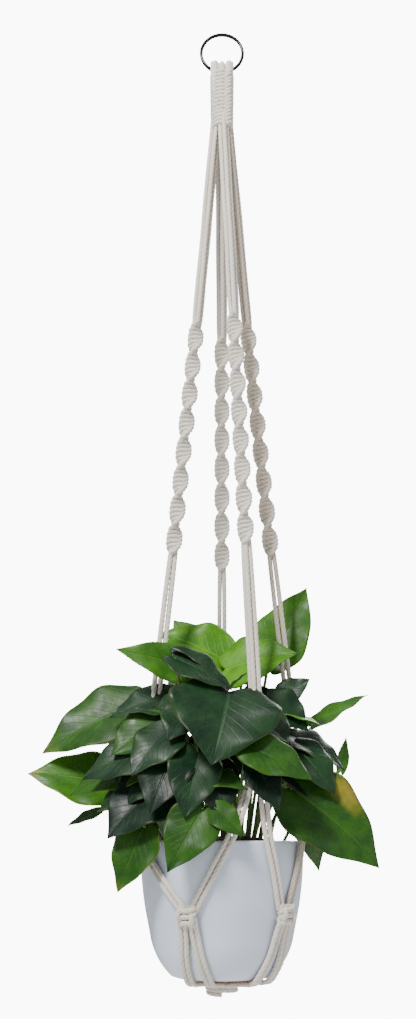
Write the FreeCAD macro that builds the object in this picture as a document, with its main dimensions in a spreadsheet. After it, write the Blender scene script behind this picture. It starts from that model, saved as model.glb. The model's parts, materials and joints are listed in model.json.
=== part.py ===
import FreeCAD, Part

# Hanging macrame planter: a steel ring, a four-armed hanger of 5 mm cotton cord, and a glazed pot with its
# plant.
# Millimetres, +Z up. The origin is the hook seat, at the top of the ring's eye, so everything hangs below it.
# Azimuths are in degrees from the front (-Y) towards +X.

import math
import os

import Sketcher
from FreeCAD import Placement, Rotation, Vector

DOC = FreeCAD.newDocument("macrame_planter")
UP = Vector(0, 0, 1)

# ----------------------------------------------------------------------------------------------------
# Driving dimensions
# ----------------------------------------------------------------------------------------------------
DIMENSIONS = {
    "ring_outer": 50.0,
    "ring_wire": 3.5,
    "cord_dia": 5.0,
    "cord_gap": 0.2,
    "loop_play": 1.9,
    "sleeve_top": 50.0,
    "sleeve_end": 116.5,
    "sleeve_top_radius": 13.5,
    "sleeve_end_radius": 12.5,
    "core_radius": 9.0,
    "fan_radius": 7.45,
    "spiral_start": 346.5,
    "spiral_start_radius": 27.0,
    "spiral_end": 606.5,
    "spiral_end_radius": 52.0,
    "spiral_neck": 4.3,
    "spiral_bulge": 8.8,
    "split_drop": 816.5,
    "split_radius": 75.0,
    "rim_drop": 897.5,
    "rim_radius": 81.0,
    "pot_wall": 4.0,
    "lip_depth": 1.3,
    "lip_bend": 2.2,
    "shoulder_depth": 86.0,
    "shoulder_radius": 72.0,
    "shoulder_bend": 330.0,
    "foot_depth": 131.0,
    "foot_radius": 50.0,
    "foot_bend": 72.0,
    "floor_thick": 5.0,
    "soil_depth": 9.0,
    "soil_mound": 13.0,
    "soil_top_radius": 20.0,
    "soil_bend": 126.0,
    "soil_play": 0.5,
    "knot_depth": 69.0,
    "knot_wide": 21.0,
    "knot_tall": 21.0,
    "knot_thick": 11.0,
    "knot_round": 3.0,
    "gather_radius": 18.5,
    "gather_top": 132.5,
    "gather_end": 149.0,
    "gather_round": 4.0,
    "leaf_thick": 0.8,
    "stalk_dia": 3.4,
}
SHEET = DOC.addObject("Spreadsheet::Sheet", "sizes")
for row, (alias, value) in enumerate(DIMENSIONS.items(), start=1):
    SHEET.set(f"A{row}", alias.replace("_", " "))
    SHEET.set(f"B{row}", str(value))
    SHEET.setAlias(f"B{row}", alias)
DOC.recompute()


def size(alias):
    """The value of one cell of the sheet."""
    return float(getattr(SHEET, alias))


CORD = size("cord_dia")
PITCH = CORD + size("cord_gap")
RIM_Z = -size("rim_drop")
HALVES = (-0.5, 0.5)
ROW = (-1.5, -0.5, 0.5, 1.5)

# Each arm's azimuth, and the azimuths where its two pairs of cords cross the pot's rim.
ARMS = {
    "left": {"azimuth": -78.0, "rim": (-90.0, -67.0)},
    "front": {"azimuth": 28.0, "rim": (6.5, 30.0)},
    "right": {"azimuth": 85.0, "rim": (67.0, 104.0)},
    "back": {"azimuth": 180.0, "rim": (166.0, 194.0)},
}
# Each side knot's azimuth, and the pairs that it ties: (arm, which of its pairs), from the lower azimuth up.
KNOTS = {
    "front_left": {"azimuth": -23.0, "pairs": (("left", 1), ("front", 0))},
    "front_right": {"azimuth": 47.0, "pairs": (("front", 1), ("right", 0))},
    "back_right": {"azimuth": 135.0, "pairs": (("right", 1), ("back", 0))},
    "back_left": {"azimuth": 229.0, "pairs": (("back", 1), ("left", 0))},
}
# The way each arm's four cords leave the sleeve, which is one quarter of the bundle each.
QUARTERS = {"left": -78.0, "front": 12.0, "right": 102.0, "back": 192.0}
SPIRAL_LUMPS = 8
# How far a cord is made past the face that trims it.
SINK = 4.0
# The size of the blocks that trim the cords.
TRIM_REACH = 60.0
PARTS = []


def keep(label, feature):
    """Registers a finished sub-part under its own label."""
    feature.Label = label
    PARTS.append((label, feature))
    return feature


def around(azimuth, radius, z):
    """The point at an azimuth, a radius and a height."""
    a = math.radians(azimuth)
    return Vector(radius * math.sin(a), -radius * math.cos(a), z)


def outward(azimuth):
    return around(azimuth, 1.0, 0.0)


def sideways(azimuth):
    return UP.cross(outward(azimuth))


# ----------------------------------------------------------------------------------------------------
# Shapes shared by several sub-parts
# ----------------------------------------------------------------------------------------------------
def tube(points, diameter):
    """A round cord: straight runs between the points, joined by the largest tangent arcs that they allow."""
    arcs = []
    for before, here, after in zip(points, points[1:], points[2:]):
        way_in = here - before
        way_out = after - here
        turn = way_in.getAngle(way_out)
        if turn < 1e-4:
            arcs.append((here, None, here))
            continue
        reach = 0.45 * min(way_in.Length, way_out.Length)
        radius = reach / math.tan(turn / 2)
        start = here - way_in.normalize() * reach
        end = here + way_out.normalize() * reach
        inward = ((start + end) / 2 - here).normalize()
        middle = here + inward * (radius / math.cos(turn / 2) - radius)
        arcs.append((start, middle, end))
    edges = []
    last = points[0]
    for start, middle, end in arcs:
        edges.append(Part.LineSegment(last, start).toShape())
        if middle is not None:
            edges.append(Part.Arc(start, middle, end).toShape())
        last = end
    edges.append(Part.LineSegment(last, points[-1]).toShape())
    path = Part.Wire(edges)
    section = Part.Wire([Part.makeCircle(diameter / 2, points[0], points[1] - points[0])])
    return path.makePipeShell([section], True, False)


def beyond(point, direction, reach=TRIM_REACH):
    """A block that fills the space beyond a point, in a direction."""
    block = Part.makeBox(2 * reach, 2 * reach, reach, Vector(-reach, -reach, 0))
    block.Placement = Placement(point, Rotation(UP, direction))
    return block


def compound_feature(name, solids):
    """A document object that holds several separate solids."""
    feature = DOC.addObject("Part::Feature", name)
    feature.Shape = Part.makeCompound(solids) if len(solids) > 1 else solids[0]
    return feature


def solids_of(shape):
    return list(shape.Solids)


# ----------------------------------------------------------------------------------------------------
# Ring, loops and sleeve
# ----------------------------------------------------------------------------------------------------
RING_CENTRE_Z = -(size("ring_outer") / 2 - size("ring_wire"))
RING_MEAN = (size("ring_outer") - size("ring_wire")) / 2
# The second layer of folded cords stands this many pitches above the first.
LAYER_STEP = 1.08


def build_ring():
    ring = DOC.addObject("Part::Torus", "ring")
    ring.setExpression("Radius1", "(sizes.ring_outer - sizes.ring_wire) / 2")
    ring.setExpression("Radius2", "sizes.ring_wire / 2")
    ring.Placement = Placement(Vector(0, 0, RING_CENTRE_Z), Rotation(Vector(1, 0, 0), 90))
    keep("hanging_ring", ring)


def folded_cord(beside, bend):
    """One cord folded over the wire, beside the ring's lowest point, with legs down to the sleeve."""
    wire = Vector(beside, 0, RING_CENTRE_Z - math.sqrt(RING_MEAN**2 - beside**2))
    crown = Part.makeTorus(bend, CORD / 2, Vector(0, 0, 0), Vector(1, 0, 0))
    crown.translate(wire)
    solid = crown.common(beyond(wire, UP))
    leg_length = wire.z + size("sleeve_top")
    for side in (-1, 1):
        foot = wire + Vector(0, side * bend, -leg_length)
        solid = solid.fuse(Part.makeCylinder(CORD / 2, leg_length, foot, UP))
    return solid.removeSplitter()


def build_loops():
    """Eight cords are folded over the ring: five lie on the wire and three on top of them."""
    inner = size("ring_wire") / 2 + size("loop_play") + CORD / 2
    outer = inner + LAYER_STEP * PITCH
    loops = []
    for bend, count, pitch in ((inner, 5, PITCH), (outer, 3, 1.5 * PITCH)):
        for index in range(count):
            loops += solids_of(folded_cord((index - (count - 1) / 2) * pitch, bend))
    keep("ring_loops", compound_feature("loops", loops))


def build_sleeve():
    """The wrapping cord's sleeve, and the bundle of sixteen cords that runs through it."""
    outside = DOC.addObject("Part::Cone", "sleeve_outside")
    outside.setExpression("Radius1", "sizes.sleeve_end_radius")
    outside.setExpression("Radius2", "sizes.sleeve_top_radius")
    outside.setExpression("Height", "sizes.sleeve_end - sizes.sleeve_top")
    outside.setExpression("Placement.Base.z", "-sizes.sleeve_end")
    bore = DOC.addObject("Part::Cylinder", "sleeve_bore")
    bore.setExpression("Radius", "sizes.core_radius + 0.1")
    bore.setExpression("Height", "sizes.sleeve_end - sizes.sleeve_top")
    bore.setExpression("Placement.Base.z", "-sizes.sleeve_end")
    sleeve = DOC.addObject("Part::Cut", "sleeve")
    sleeve.Base = outside
    sleeve.Tool = bore
    keep("wrap_sleeve", sleeve)
    core = DOC.addObject("Part::Cylinder", "core")
    core.setExpression("Radius", "sizes.core_radius")
    core.setExpression("Height", "sizes.sleeve_end - sizes.sleeve_top")
    core.setExpression("Placement.Base.z", "-sizes.sleeve_end")
    keep("core_cords", core)


# ----------------------------------------------------------------------------------------------------
# Arms
# ----------------------------------------------------------------------------------------------------
def arm_start(name):
    return around(ARMS[name]["azimuth"], size("spiral_start_radius"), -size("spiral_start"))


def arm_end(name):
    return around(ARMS[name]["azimuth"], size("spiral_end_radius"), -size("spiral_end"))


def build_upper_cords(name, quarter):
    """Four taut cords from the sleeve's end to the arm's spiral, in two rows of two."""
    axis = (arm_end(name) - arm_start(name)).normalize()
    slab = beyond(arm_start(name), axis)
    top = DOC.addObject("Part::Feature", f"{name}_arm_limits")
    sleeve_end = Vector(0, 0, -size("sleeve_end"))
    top.Shape = Part.makeCompound([slab, beyond(sleeve_end, UP)])
    grid = (sideways(quarter + 45.0) * PITCH, outward(quarter + 45.0) * PITCH)
    cords = []
    for across in HALVES:
        for out in HALVES:
            place = grid[0] * across + grid[1] * out
            begin = around(quarter, size("fan_radius"), sleeve_end.z) + place
            end = arm_start(name) + place
            way = (end - begin).normalize()
            cord = DOC.addObject("Part::Cylinder", f"{name}_arm_cord")
            cord.setExpression("Radius", "sizes.cord_dia / 2")
            cord.Height = (end - begin).Length + 2 * SINK
            cord.Placement = Placement(begin - way * SINK, Rotation(UP, way))
            trimmed = DOC.addObject("Part::Cut", f"{name}_arm_trimmed_cord")
            trimmed.Base = cord
            trimmed.Tool = top
            cords.append(trimmed)
    group = DOC.addObject("Part::Compound", f"{name}_arm_upper")
    group.Links = cords
    keep(f"{name}_arm_upper_cords", group)


def build_spiral(name):
    """The half-knot spiral: a round envelope that swells where the flat knots stand broadside."""
    start = arm_start(name)
    axis = arm_end(name) - start
    lump = axis.Length / SPIRAL_LUMPS
    neck = size("spiral_neck")
    bulge = size("spiral_bulge")
    edges = [Part.LineSegment(Vector(0, 0, 0), Vector(neck, 0, 0)).toShape()]
    for index in range(SPIRAL_LUMPS):
        low = index * lump
        waist = Vector(neck, 0, low)
        belly = Vector(bulge, 0, low + lump / 2)
        edges.append(Part.Arc(waist, belly, Vector(neck, 0, low + lump)).toShape())
    edges.append(Part.LineSegment(Vector(neck, 0, axis.Length), Vector(0, 0, axis.Length)).toShape())
    edges.append(Part.LineSegment(Vector(0, 0, axis.Length), Vector(0, 0, 0)).toShape())
    outline = DOC.addObject("Part::Feature", f"{name}_arm_spiral_outline")
    outline.Shape = Part.Face(Part.Wire(edges))
    spiral = DOC.addObject("Part::Revolution", f"{name}_arm_spiral_body")
    spiral.Source = outline
    spiral.Axis = (0, 0, 1)
    spiral.Base = (0, 0, 0)
    spiral.Angle = 360
    spiral.Solid = True
    spiral.Placement = Placement(start, Rotation(UP, axis))
    keep(f"{name}_arm_spiral", spiral)


def pot_radius(depth):
    """The pot's outside radius at a depth below its rim."""
    rim = (size("rim_radius"), 0.0)
    shoulder = (size("shoulder_radius"), size("shoulder_depth"))
    foot = (size("foot_radius"), size("foot_depth"))
    top, low, bend = (rim, shoulder, size("shoulder_bend"))
    if depth > shoulder[1]:
        top, low, bend = (shoulder, foot, size("foot_bend"))
    mid_r = (top[0] + low[0]) / 2
    mid_d = (top[1] + low[1]) / 2
    run = math.hypot(low[0] - top[0], low[1] - top[1])
    rise = math.sqrt(bend**2 - run**2 / 4)
    centre_r = mid_r - (low[1] - top[1]) / run * rise
    centre_d = mid_d + (low[0] - top[0]) / run * rise
    return centre_r + math.sqrt(max(bend**2 - (depth - centre_d) ** 2, 0.0))


# Clear space between the pot's wall and the cords, the knots and the cords under its foot.
CORD_CLEAR = 1.2
KNOT_CLEAR = 0.6
FOOT_CLEAR = 0.9
STAND_OFF = CORD / 2 + CORD_CLEAR
KNOT_RADIUS = pot_radius(size("knot_depth")) + size("knot_thick") / 2 + KNOT_CLEAR
# Spacing of an arm's cords at its spiral, of a pair's two cords on the wall, and of two pairs at a knot.
BESIDE_SPACING = 1.06 * PITCH
OUTWARD_SPACING = PITCH + 0.7
WALL_SPACING = PITCH + 0.25
ENTRY_SPACING = 1.05 * PITCH
# A draped cord has a point at least every so many degrees round the pot, and starts this far above the rim.
DRAPE_STEP = 13.0
DRAPE_START = -4.0
RIM_LIFT = 0.6
# Half-way from the split to the rim the pair has turned by this angle, and this share of its way round.
HALF_TURN = math.radians(45)
HALF_SHARE = 0.55
HALF_LIFT = 0.5


def draped_route(start_azimuth, end_azimuth, end_depth, offset):
    """A cord's points over the pot's wall, from the rim to a side knot, beside the middle of its pair."""
    span = end_azimuth - start_azimuth
    count = max(2, math.ceil(abs(span) / DRAPE_STEP))
    mean = size("rim_radius") + STAND_OFF
    slope = math.atan2(math.radians(span) * mean, end_depth)
    points = []
    for index in range(count + 1):
        share = index / count
        lean = slope * (1.0 if index else 0.5)
        depth = DRAPE_START + (end_depth - DRAPE_START) * share - offset * math.sin(lean)
        azimuth = start_azimuth + span * share + math.degrees(offset * math.cos(lean) / mean)
        radius = pot_radius(max(depth, 0.0)) + STAND_OFF + (RIM_LIFT if index < 2 else 0.0)
        points.append(around(azimuth, radius, RIM_Z - depth))
    return points


def build_side_knot(name):
    azimuth = KNOTS[name]["azimuth"]
    block = DOC.addObject("Part::Box", f"{name}_knot_block")
    block.setExpression("Length", "sizes.knot_wide")
    block.setExpression("Width", "sizes.knot_thick")
    block.setExpression("Height", "sizes.knot_tall")
    knot = DOC.addObject("Part::Fillet", f"{name}_knot")
    knot.Base = block
    DOC.recompute()
    knot.Edges = [(i + 1, size("knot_round"), size("knot_round")) for i in range(len(block.Shape.Edges))]
    half_tall = size("knot_tall") / 2
    lean = pot_radius(size("knot_depth") - half_tall) - pot_radius(size("knot_depth") + half_tall)
    turn = Rotation(UP, azimuth) * Rotation(Vector(1, 0, 0), math.degrees(math.atan2(lean, 2 * half_tall)))
    corner = Vector(size("knot_wide"), size("knot_thick"), size("knot_tall")) * 0.5
    middle = around(azimuth, KNOT_RADIUS, RIM_Z - size("knot_depth"))
    knot.Placement = Placement(middle - turn.multVec(corner), turn)
    keep(f"{name}_side_knot", knot)
    return knot


def lower_cord(name, pair, strand, knot_name, side):
    """One cord from the spiral's end, past the split and over the rim, to its side knot."""
    azimuth = ARMS[name]["azimuth"]
    rim_azimuth = ARMS[name]["rim"][pair]
    knot = KNOTS[knot_name]["azimuth"]
    knot += 360.0 if knot - rim_azimuth < -180.0 else 0.0
    knot -= 360.0 if knot - rim_azimuth > 180.0 else 0.0
    away = strand * OUTWARD_SPACING
    beside = sideways(azimuth) * (HALVES[pair] * BESIDE_SPACING)
    end = arm_end(name) + beside + outward(azimuth) * away
    split = around(azimuth, size("split_radius"), -size("split_drop")) + beside + outward(azimuth) * away
    halfway = azimuth + (rim_azimuth - azimuth) * HALF_SHARE
    half_radius = (size("split_radius") + size("rim_radius") + STAND_OFF) / 2 + HALF_LIFT
    between = around(halfway, half_radius, (-size("split_drop") + RIM_Z) / 2)
    between += outward(halfway) * (away * math.cos(HALF_TURN))
    between += sideways(halfway) * (away * math.sin(HALF_TURN))
    end_depth = size("knot_depth") - size("knot_tall") / 2 + SINK
    target = knot + math.degrees(side * ENTRY_SPACING / KNOT_RADIUS)
    points = [end + (end - split).normalize() * SINK, split, between]
    points += draped_route(rim_azimuth, target, end_depth, strand * WALL_SPACING)
    return tube(points, CORD)


def build_lower_cords(name, knots):
    """Four cords in two pairs; each pair leaves for its own side knot."""
    axis = (arm_end(name) - arm_start(name)).normalize()
    limit = beyond(arm_end(name), axis * -1)
    solids = []
    for knot_name, knot in KNOTS.items():
        for order, (arm, pair) in enumerate(knot["pairs"]):
            if arm != name:
                continue
            for strand in HALVES:
                cord = lower_cord(name, pair, strand, knot_name, 2 * HALVES[order])
                solids += solids_of(cord.cut(limit).cut(knots[knot_name].Shape))
    keep(f"{name}_arm_lower_cords", compound_feature(f"{name}_arm_lower", solids))


# ----------------------------------------------------------------------------------------------------
# Cradle under the pot
# ----------------------------------------------------------------------------------------------------
# Depths below the rim at which a base cord is guided down the pot's wall.
WALL_DEPTHS = (90.0, 103.0, 115.0, 125.0)
# Points of a base cord under the foot: how far inside the foot's edge, and how far below its clear space.
UNDER_FOOT = ((-1.5, 0.4), (14.0, 0.8))
GATHER_DROP = 3.6
# How far a base cord strays away from the row's middle at each point of its profile.
BASE_SPREAD = (0.0, 0.8, 2.4, 3.8, 4.8, 5.0, 3.6, 0.0)


def build_gathering_knot():
    disc = DOC.addObject("Part::Cylinder", "gathering_disc")
    disc.setExpression("Radius", "sizes.gather_radius")
    disc.setExpression("Height", "sizes.gather_end - sizes.gather_top")
    knot = DOC.addObject("Part::Fillet", "gathering")
    knot.Base = disc
    DOC.recompute()
    rims = [i + 1 for i, e in enumerate(disc.Shape.Edges) if isinstance(e.Curve, Part.Circle)]
    knot.Edges = [(i, size("gather_round"), size("gather_round")) for i in rims]
    knot.Placement = Placement(Vector(0, 0, RIM_Z - size("gather_end")), Rotation())
    keep("gathering_knot", knot)
    return knot


def build_base_cords(name, knot, gathering):
    """Four cords from a side knot down the wall and under the pot, to the gathering knot."""
    azimuth = KNOTS[name]["azimuth"]
    under = size("foot_depth") + CORD / 2 + FOOT_CLEAR
    profile = [(KNOT_RADIUS, size("knot_depth") + size("knot_tall") / 2 - SINK)]
    profile += [(pot_radius(depth) + STAND_OFF, depth) for depth in WALL_DEPTHS]
    profile += [(size("foot_radius") - inside, under + drop) for inside, drop in UNDER_FOOT]
    profile += [(size("gather_radius") - SINK, under + GATHER_DROP)]
    solids = []
    for slot in ROW:
        points = []
        for (radius, depth), spread in zip(profile, BASE_SPREAD):
            beside = slot * PITCH + math.copysign(spread, slot)
            points.append(around(azimuth, radius, RIM_Z - depth) + sideways(azimuth) * beside)
        solids += solids_of(tube(points, CORD).cut(knot.Shape).cut(gathering.Shape))
    keep(f"{name}_base_cords", compound_feature(f"{name}_base", solids))


# ----------------------------------------------------------------------------------------------------
# Pot and root ball, each turned from one profile
# ----------------------------------------------------------------------------------------------------
SAME_POINT = 1e-4


def starts_first(sketch, index, point):
    """Whether a side's first end lies at the point: an arc always runs anticlockwise."""
    return (sketch.getPoint(index, 1) - point).Length < SAME_POINT


def size_of(expression):
    """The value of a sum of cells, such as "sizes.rim_radius - sizes.pot_wall"."""
    total = 0.0
    sign = 1.0
    for word in expression.split():
        if word in "+-":
            sign = 1.0 if word == "+" else -1.0
            continue
        minus = word.startswith("-")
        word = word.lstrip("-")
        value = size(word.split(".")[1]) if word.startswith("sizes.") else float(word)
        total += sign * (-value if minus else value)
    return total


def turned_body(label, corners, bends):
    """A solid of revolution from corners as (radius, height) and each side's bend radius."""
    body = DOC.addObject("PartDesign::Body", label + "_body")
    sketch = body.newObject("Sketcher::SketchObject", label + "_profile")
    plane = [f for f in body.Origin.OriginFeatures if f.Role == "XZ_Plane"][0]
    sketch.AttachmentSupport = [(plane, "")]
    sketch.MapMode = "FlatFace"
    count = len(corners)
    points = [Vector(size_of(r), size_of(z), 0) for r, z in corners]
    for index, bend in enumerate(bends):
        start = points[index]
        end = points[(index + 1) % count]
        if bend is None:
            sketch.addGeometry(Part.LineSegment(start, end), False)
            continue
        radius = size_of(bend[0])
        chord = end - start
        side = Vector(chord.y, -chord.x, 0).normalize() * bend[1]
        sag = radius - math.sqrt(radius**2 - chord.Length**2 / 4)
        sketch.addGeometry(Part.Arc(start, (start + end) / 2 + side * sag, end), False)
    for index in range(count):
        point_at = 1 if starts_first(sketch, index, points[index]) else 2
        before = (index - 1) % count
        before_at = 2 if starts_first(sketch, before, points[before]) else 1
        sketch.addConstraint(Sketcher.Constraint("Coincident", index, point_at, before, before_at))
        for kind, axis, value in (("DistanceX", -2, corners[index][0]), ("DistanceY", -1, corners[index][1])):
            number = size_of(value)
            if abs(number) < SAME_POINT:
                sketch.addConstraint(Sketcher.Constraint("PointOnObject", index, point_at, axis))
                continue
            ends = (-1, 1, index, point_at) if number > 0 else (index, point_at, -1, 1)
            which = sketch.addConstraint(Sketcher.Constraint(kind, *ends, abs(number)))
            sketch.setExpression(f"Constraints[{which}]", value if number > 0 else f"-({value})")
    for index, bend in enumerate(bends):
        if bend is not None:
            which = sketch.addConstraint(Sketcher.Constraint("Radius", index, size_of(bend[0])))
            sketch.setExpression(f"Constraints[{which}]", bend[0])
    DOC.recompute()
    turned = body.newObject("PartDesign::Revolution", label + "_turned")
    turned.Profile = sketch
    turned.ReferenceAxis = (sketch, ["V_Axis"])
    turned.Angle = 360
    body.Tip = turned
    body.setExpression("Placement.Base.z", "-sizes.rim_drop")
    DOC.recompute()
    keep(label, body)


def build_pot():
    corners = [
        ("0", "-sizes.foot_depth"),
        ("sizes.foot_radius", "-sizes.foot_depth"),
        ("sizes.shoulder_radius", "-sizes.shoulder_depth"),
        ("sizes.rim_radius", "-sizes.lip_depth"),
        ("sizes.rim_radius - sizes.pot_wall", "-sizes.lip_depth"),
        ("sizes.shoulder_radius - sizes.pot_wall", "-sizes.shoulder_depth"),
        ("sizes.foot_radius - sizes.pot_wall", "-sizes.foot_depth + sizes.floor_thick"),
        ("0", "-sizes.foot_depth + sizes.floor_thick"),
    ]
    bends = [
        None,
        ("sizes.foot_bend", 1),
        ("sizes.shoulder_bend", 1),
        ("sizes.lip_bend", 1),
        ("sizes.shoulder_bend - sizes.pot_wall", -1),
        ("sizes.foot_bend - sizes.pot_wall", -1),
        None,
        None,
    ]
    turned_body("glazed_pot", corners, bends)


def build_root_ball():
    inside = "sizes.pot_wall - sizes.soil_play"
    corners = [
        ("0", "-sizes.foot_depth + sizes.floor_thick + sizes.soil_play"),
        (f"sizes.foot_radius - {inside} - 1", "-sizes.foot_depth + sizes.floor_thick + sizes.soil_play"),
        (f"sizes.shoulder_radius - {inside}", "-sizes.shoulder_depth"),
        (f"sizes.rim_radius - {inside} - 1", "-sizes.soil_depth"),
        ("sizes.soil_top_radius", "-sizes.soil_depth + sizes.soil_mound"),
        ("0", "-sizes.soil_depth + sizes.soil_mound"),
    ]
    bends = [
        None,
        ("sizes.foot_bend - sizes.pot_wall", 1),
        ("sizes.shoulder_bend - sizes.pot_wall", 1),
        ("sizes.soil_bend", 1),
        None,
        None,
    ]
    turned_body("root_ball", corners, bends)


# ----------------------------------------------------------------------------------------------------
# Leaves: each is one blade and its stalk. Points are (x, y, height above the rim) in mm.
# ----------------------------------------------------------------------------------------------------
# name: (blade's base, tip, the way its face looks, width, its curl over its length in degrees, stalk's arch)
LEAVES = {
    "upper_left_broad": ((3, 15, 186), (-66, 25, 218), (0.1, -0.9, 0.4), 68, 25, 0),
    "upper_left_pointed": ((-22, -32, 166), (-104, -44, 187), (-0.1, -0.96, 0.25), 42, 20, 0),
    "upper_curl": ((-12, -52, 160), (-52, -62, 186), (0.2, -0.3, 0.9), 20, 30, 0),
    "upper_small_dark": ((4, -44, 143), (24, -50, 162), (0, -0.3, 0.95), 18, 20, 0),
    "upper_right_bright": ((3, -2, 174), (75, -27, 186), (-0.1, -0.85, 0.5), 64, 20, 0),
    "upper_right_tall": ((48, 22, 184), (96, 37, 267), (-0.2, -0.95, 0.2), 62, 15, 0),
    "front_great": ((7, -67.5, 141), (-9, -107, 68), (0.12, -0.88, 0.45), 108, 30, 0),
    "front_right_long": ((22, -91, 87), (82, -102, 55), (0.2, -0.85, 0.5), 46, 20, 0),
    "right_bright_low": ((49, -30, 126), (97, -45, 111), (0, -0.25, 0.95), 26, 25, 0),
    "right_silver_tip": ((92, 13, 117), (150, 8, 149), (-0.3, -0.5, 0.8), 34, 15, 0),
    "right_drooping": ((66, -44, 50), (153, -48, -22), (0.3, -0.9, 0.3), 84, 30, 62),
    "right_narrow": ((123, 25, 71), (130, 30, 107), (0.3, -0.9, 0), 14, 10, 0),
    "right_dark": ((68, -20, 104), (120, -30, 69), (0.3, -0.6, 0.7), 44, 30, 0),
    "left_large": ((-86, 6, 140), (-183, 4, 88), (-0.2, -0.85, 0.5), 74, 20, 0),
    "left_outer": ((-108, 18, 56), (-198, 8, 68), (-0.1, -0.85, 0.5), 66, 25, 0),
    "lower_left_dark": ((-52, -50, 58), (-107, -68, 2), (-0.2, -0.8, 0.55), 76, 30, 0),
    "left_hanging": ((-72, -64, 14), (-98, -60, -48), (-0.35, -0.85, 0.2), 50, 15, 45),
    "front_low_bright": ((-17, -90, 30), (-49, -102, -28), (0, -0.95, 0.3), 50, 20, 45),
    "front_middle": ((-36, -60, 70), (23, -94, 46), (0, -0.7, 0.7), 40, 20, 0),
    "left_inner_bright": ((-58, -46, 116), (-106, -60, 80), (-0.1, -0.85, 0.5), 52, 20, 0),
    "front_low_small": ((-8, -92, 30), (19, -100, 4), (0.1, -0.9, 0.4), 28, 15, 45),
    "left_inner_dark": ((-53, -35, 124), (-101, -50, 124), (0, -0.4, 0.9), 26, 15, 0),
    "right_inner_dark": ((58, -24, 142), (88, -25, 160), (0, -0.9, 0.4), 28, 15, 0),
    "left_slim": ((-126, 25, 30), (-161, 35, 15), (0, -0.7, 0.7), 16, 20, 45),
    "back_right_low": ((78, 52, 42), (104, 72, -32), (0.6, 0.75, 0.1), 48, 20, 50),
    "back_left_upper": ((-25, 45, 150), (-60, 105, 168), (0, 0.6, 0.8), 58, 25, 0),
    "back_right_upper": ((30, 48, 140), (62, 112, 148), (0, 0.6, 0.8), 60, 25, 0),
    "back_left_drooping": ((-55, 70, 75), (-95, 125, 15), (-0.3, 0.7, 0.6), 66, 30, 0),
    "back_right_drooping": ((62, 72, 70), (98, 130, 5), (0.3, 0.7, 0.6), 68, 30, 0),
    "back_centre": ((2, 28, 132), (6, 52, 92), (0, 0.9, 0.4), 40, 25, 0),
    "back_left_top": ((-18, 22, 190), (-52, 42, 235), (-0.2, 0.9, 0.3), 50, 20, 0),
    "back_right_top": ((20, 24, 180), (58, 54, 205), (0.2, 0.9, 0.4), 52, 25, 0),
    "back_left_low": ((-62, 64, 40), (-84, 92, -30), (-0.5, 0.8, 0.1), 48, 20, 48),
}


# A blade's outline as shares of its length and width: heel, shoulder, widest point and flank.
BLADE_OUTLINE = ((0.03, 0.22), (0.12, 0.40), (0.33, 0.50), (0.70, 0.30))


def blade(base, tip, face, width, curl, thick):
    """A pointed oval blade, bent over its length like a strip of a thin-walled tube."""
    along = (tip - base).normalize()
    across = face.cross(along).normalize()
    normal = along.cross(across)
    length = (tip - base).Length
    bend = math.radians(curl)
    radius = length / (2 * math.sin(bend / 2))
    drop = radius * math.cos(bend / 2)
    start = Vector(0, 0, 0)
    end = Vector(length, 0, 0)
    edges = []
    for way in (1, -1):
        heel, shoulder, belly, flank = [Vector(x * length, way * y * width, 0) for x, y in BLADE_OUTLINE]
        edges.append(Part.LineSegment(start, heel).toShape())
        edges.append(Part.Arc(heel, shoulder, belly).toShape())
        edges.append(Part.Arc(belly, flank, end).toShape())
    outline = Part.Wire(Part.__sortEdges__(edges))
    prism = Part.Face(outline)
    prism.translate(Vector(0, 0, -length))
    prism = prism.extrude(Vector(0, 0, 2 * length))
    origin = Vector(length / 2, -width, -drop)
    shell = Part.makeCylinder(radius + thick / 2, 2 * width, origin, Vector(0, 1, 0))
    shell = shell.cut(Part.makeCylinder(radius - thick / 2, 2 * width, origin, Vector(0, 1, 0)))
    upper = Part.makeBox(4 * radius, 2 * width, 2 * radius, Vector(length / 2 - 2 * radius, -width, -drop))
    leaf = prism.common(shell).common(upper)
    matrix = FreeCAD.Matrix(
        along.x, across.x, normal.x, base.x,
        along.y, across.y, normal.y, base.y,
        along.z, across.z, normal.z, base.z,
    )
    leaf.Placement = Placement(matrix)
    return leaf


# A stalk rises from the soil at a share of its blade's reach, and no nearer to the wall than the limit.
ROOT_SHARE = 0.45
ROOT_START = 4.0
ROOT_LIMIT = 58.0
ROOT_SINK = 6.0
# Half-way up, a stalk has gone this share of its way out; at its top it reaches this far into the blade.
STALK_OUT = 0.28
STALK_GRIP = 1.5


def build_leaf(name, spec):
    raw_base, raw_tip, raw_face, width, curl, arch = spec
    lift = Vector(0, 0, RIM_Z)
    base = Vector(*raw_base) + lift
    tip = Vector(*raw_tip) + lift
    soil_z = RIM_Z - size("soil_depth")
    reach = math.hypot(base.x, base.y)
    root_reach = min(ROOT_SHARE * reach + ROOT_START, ROOT_LIMIT)
    root = Vector(base.x, base.y, 0) * (root_reach / max(reach, 1.0)) + Vector(0, 0, soil_z)
    if arch:
        over = Vector(base.x, base.y, 0) * ((root_reach + (reach - root_reach) * HALF_SHARE) / reach)
        middle = over + Vector(0, 0, RIM_Z + arch)
    else:
        middle = root + (base - root) * STALK_OUT
        middle.z = soil_z + (base.z - soil_z) * HALF_SHARE
    grip = base + (tip - base).normalize() * STALK_GRIP
    stalk = tube([root - UP * ROOT_SINK, middle, grip], size("stalk_dia"))
    leaf = blade(base, tip, Vector(*raw_face), width, curl, size("leaf_thick"))
    soil = [feature for label, feature in PARTS if label == "root_ball"][0]
    whole = stalk.cut(soil.Shape).fuse(leaf)
    solids = sorted(solids_of(whole), key=lambda s: s.Volume)
    feature = DOC.addObject("Part::Feature", f"leaf_{name}")
    feature.Shape = solids[-1]
    keep(f"leaf_{name}", feature)


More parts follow.
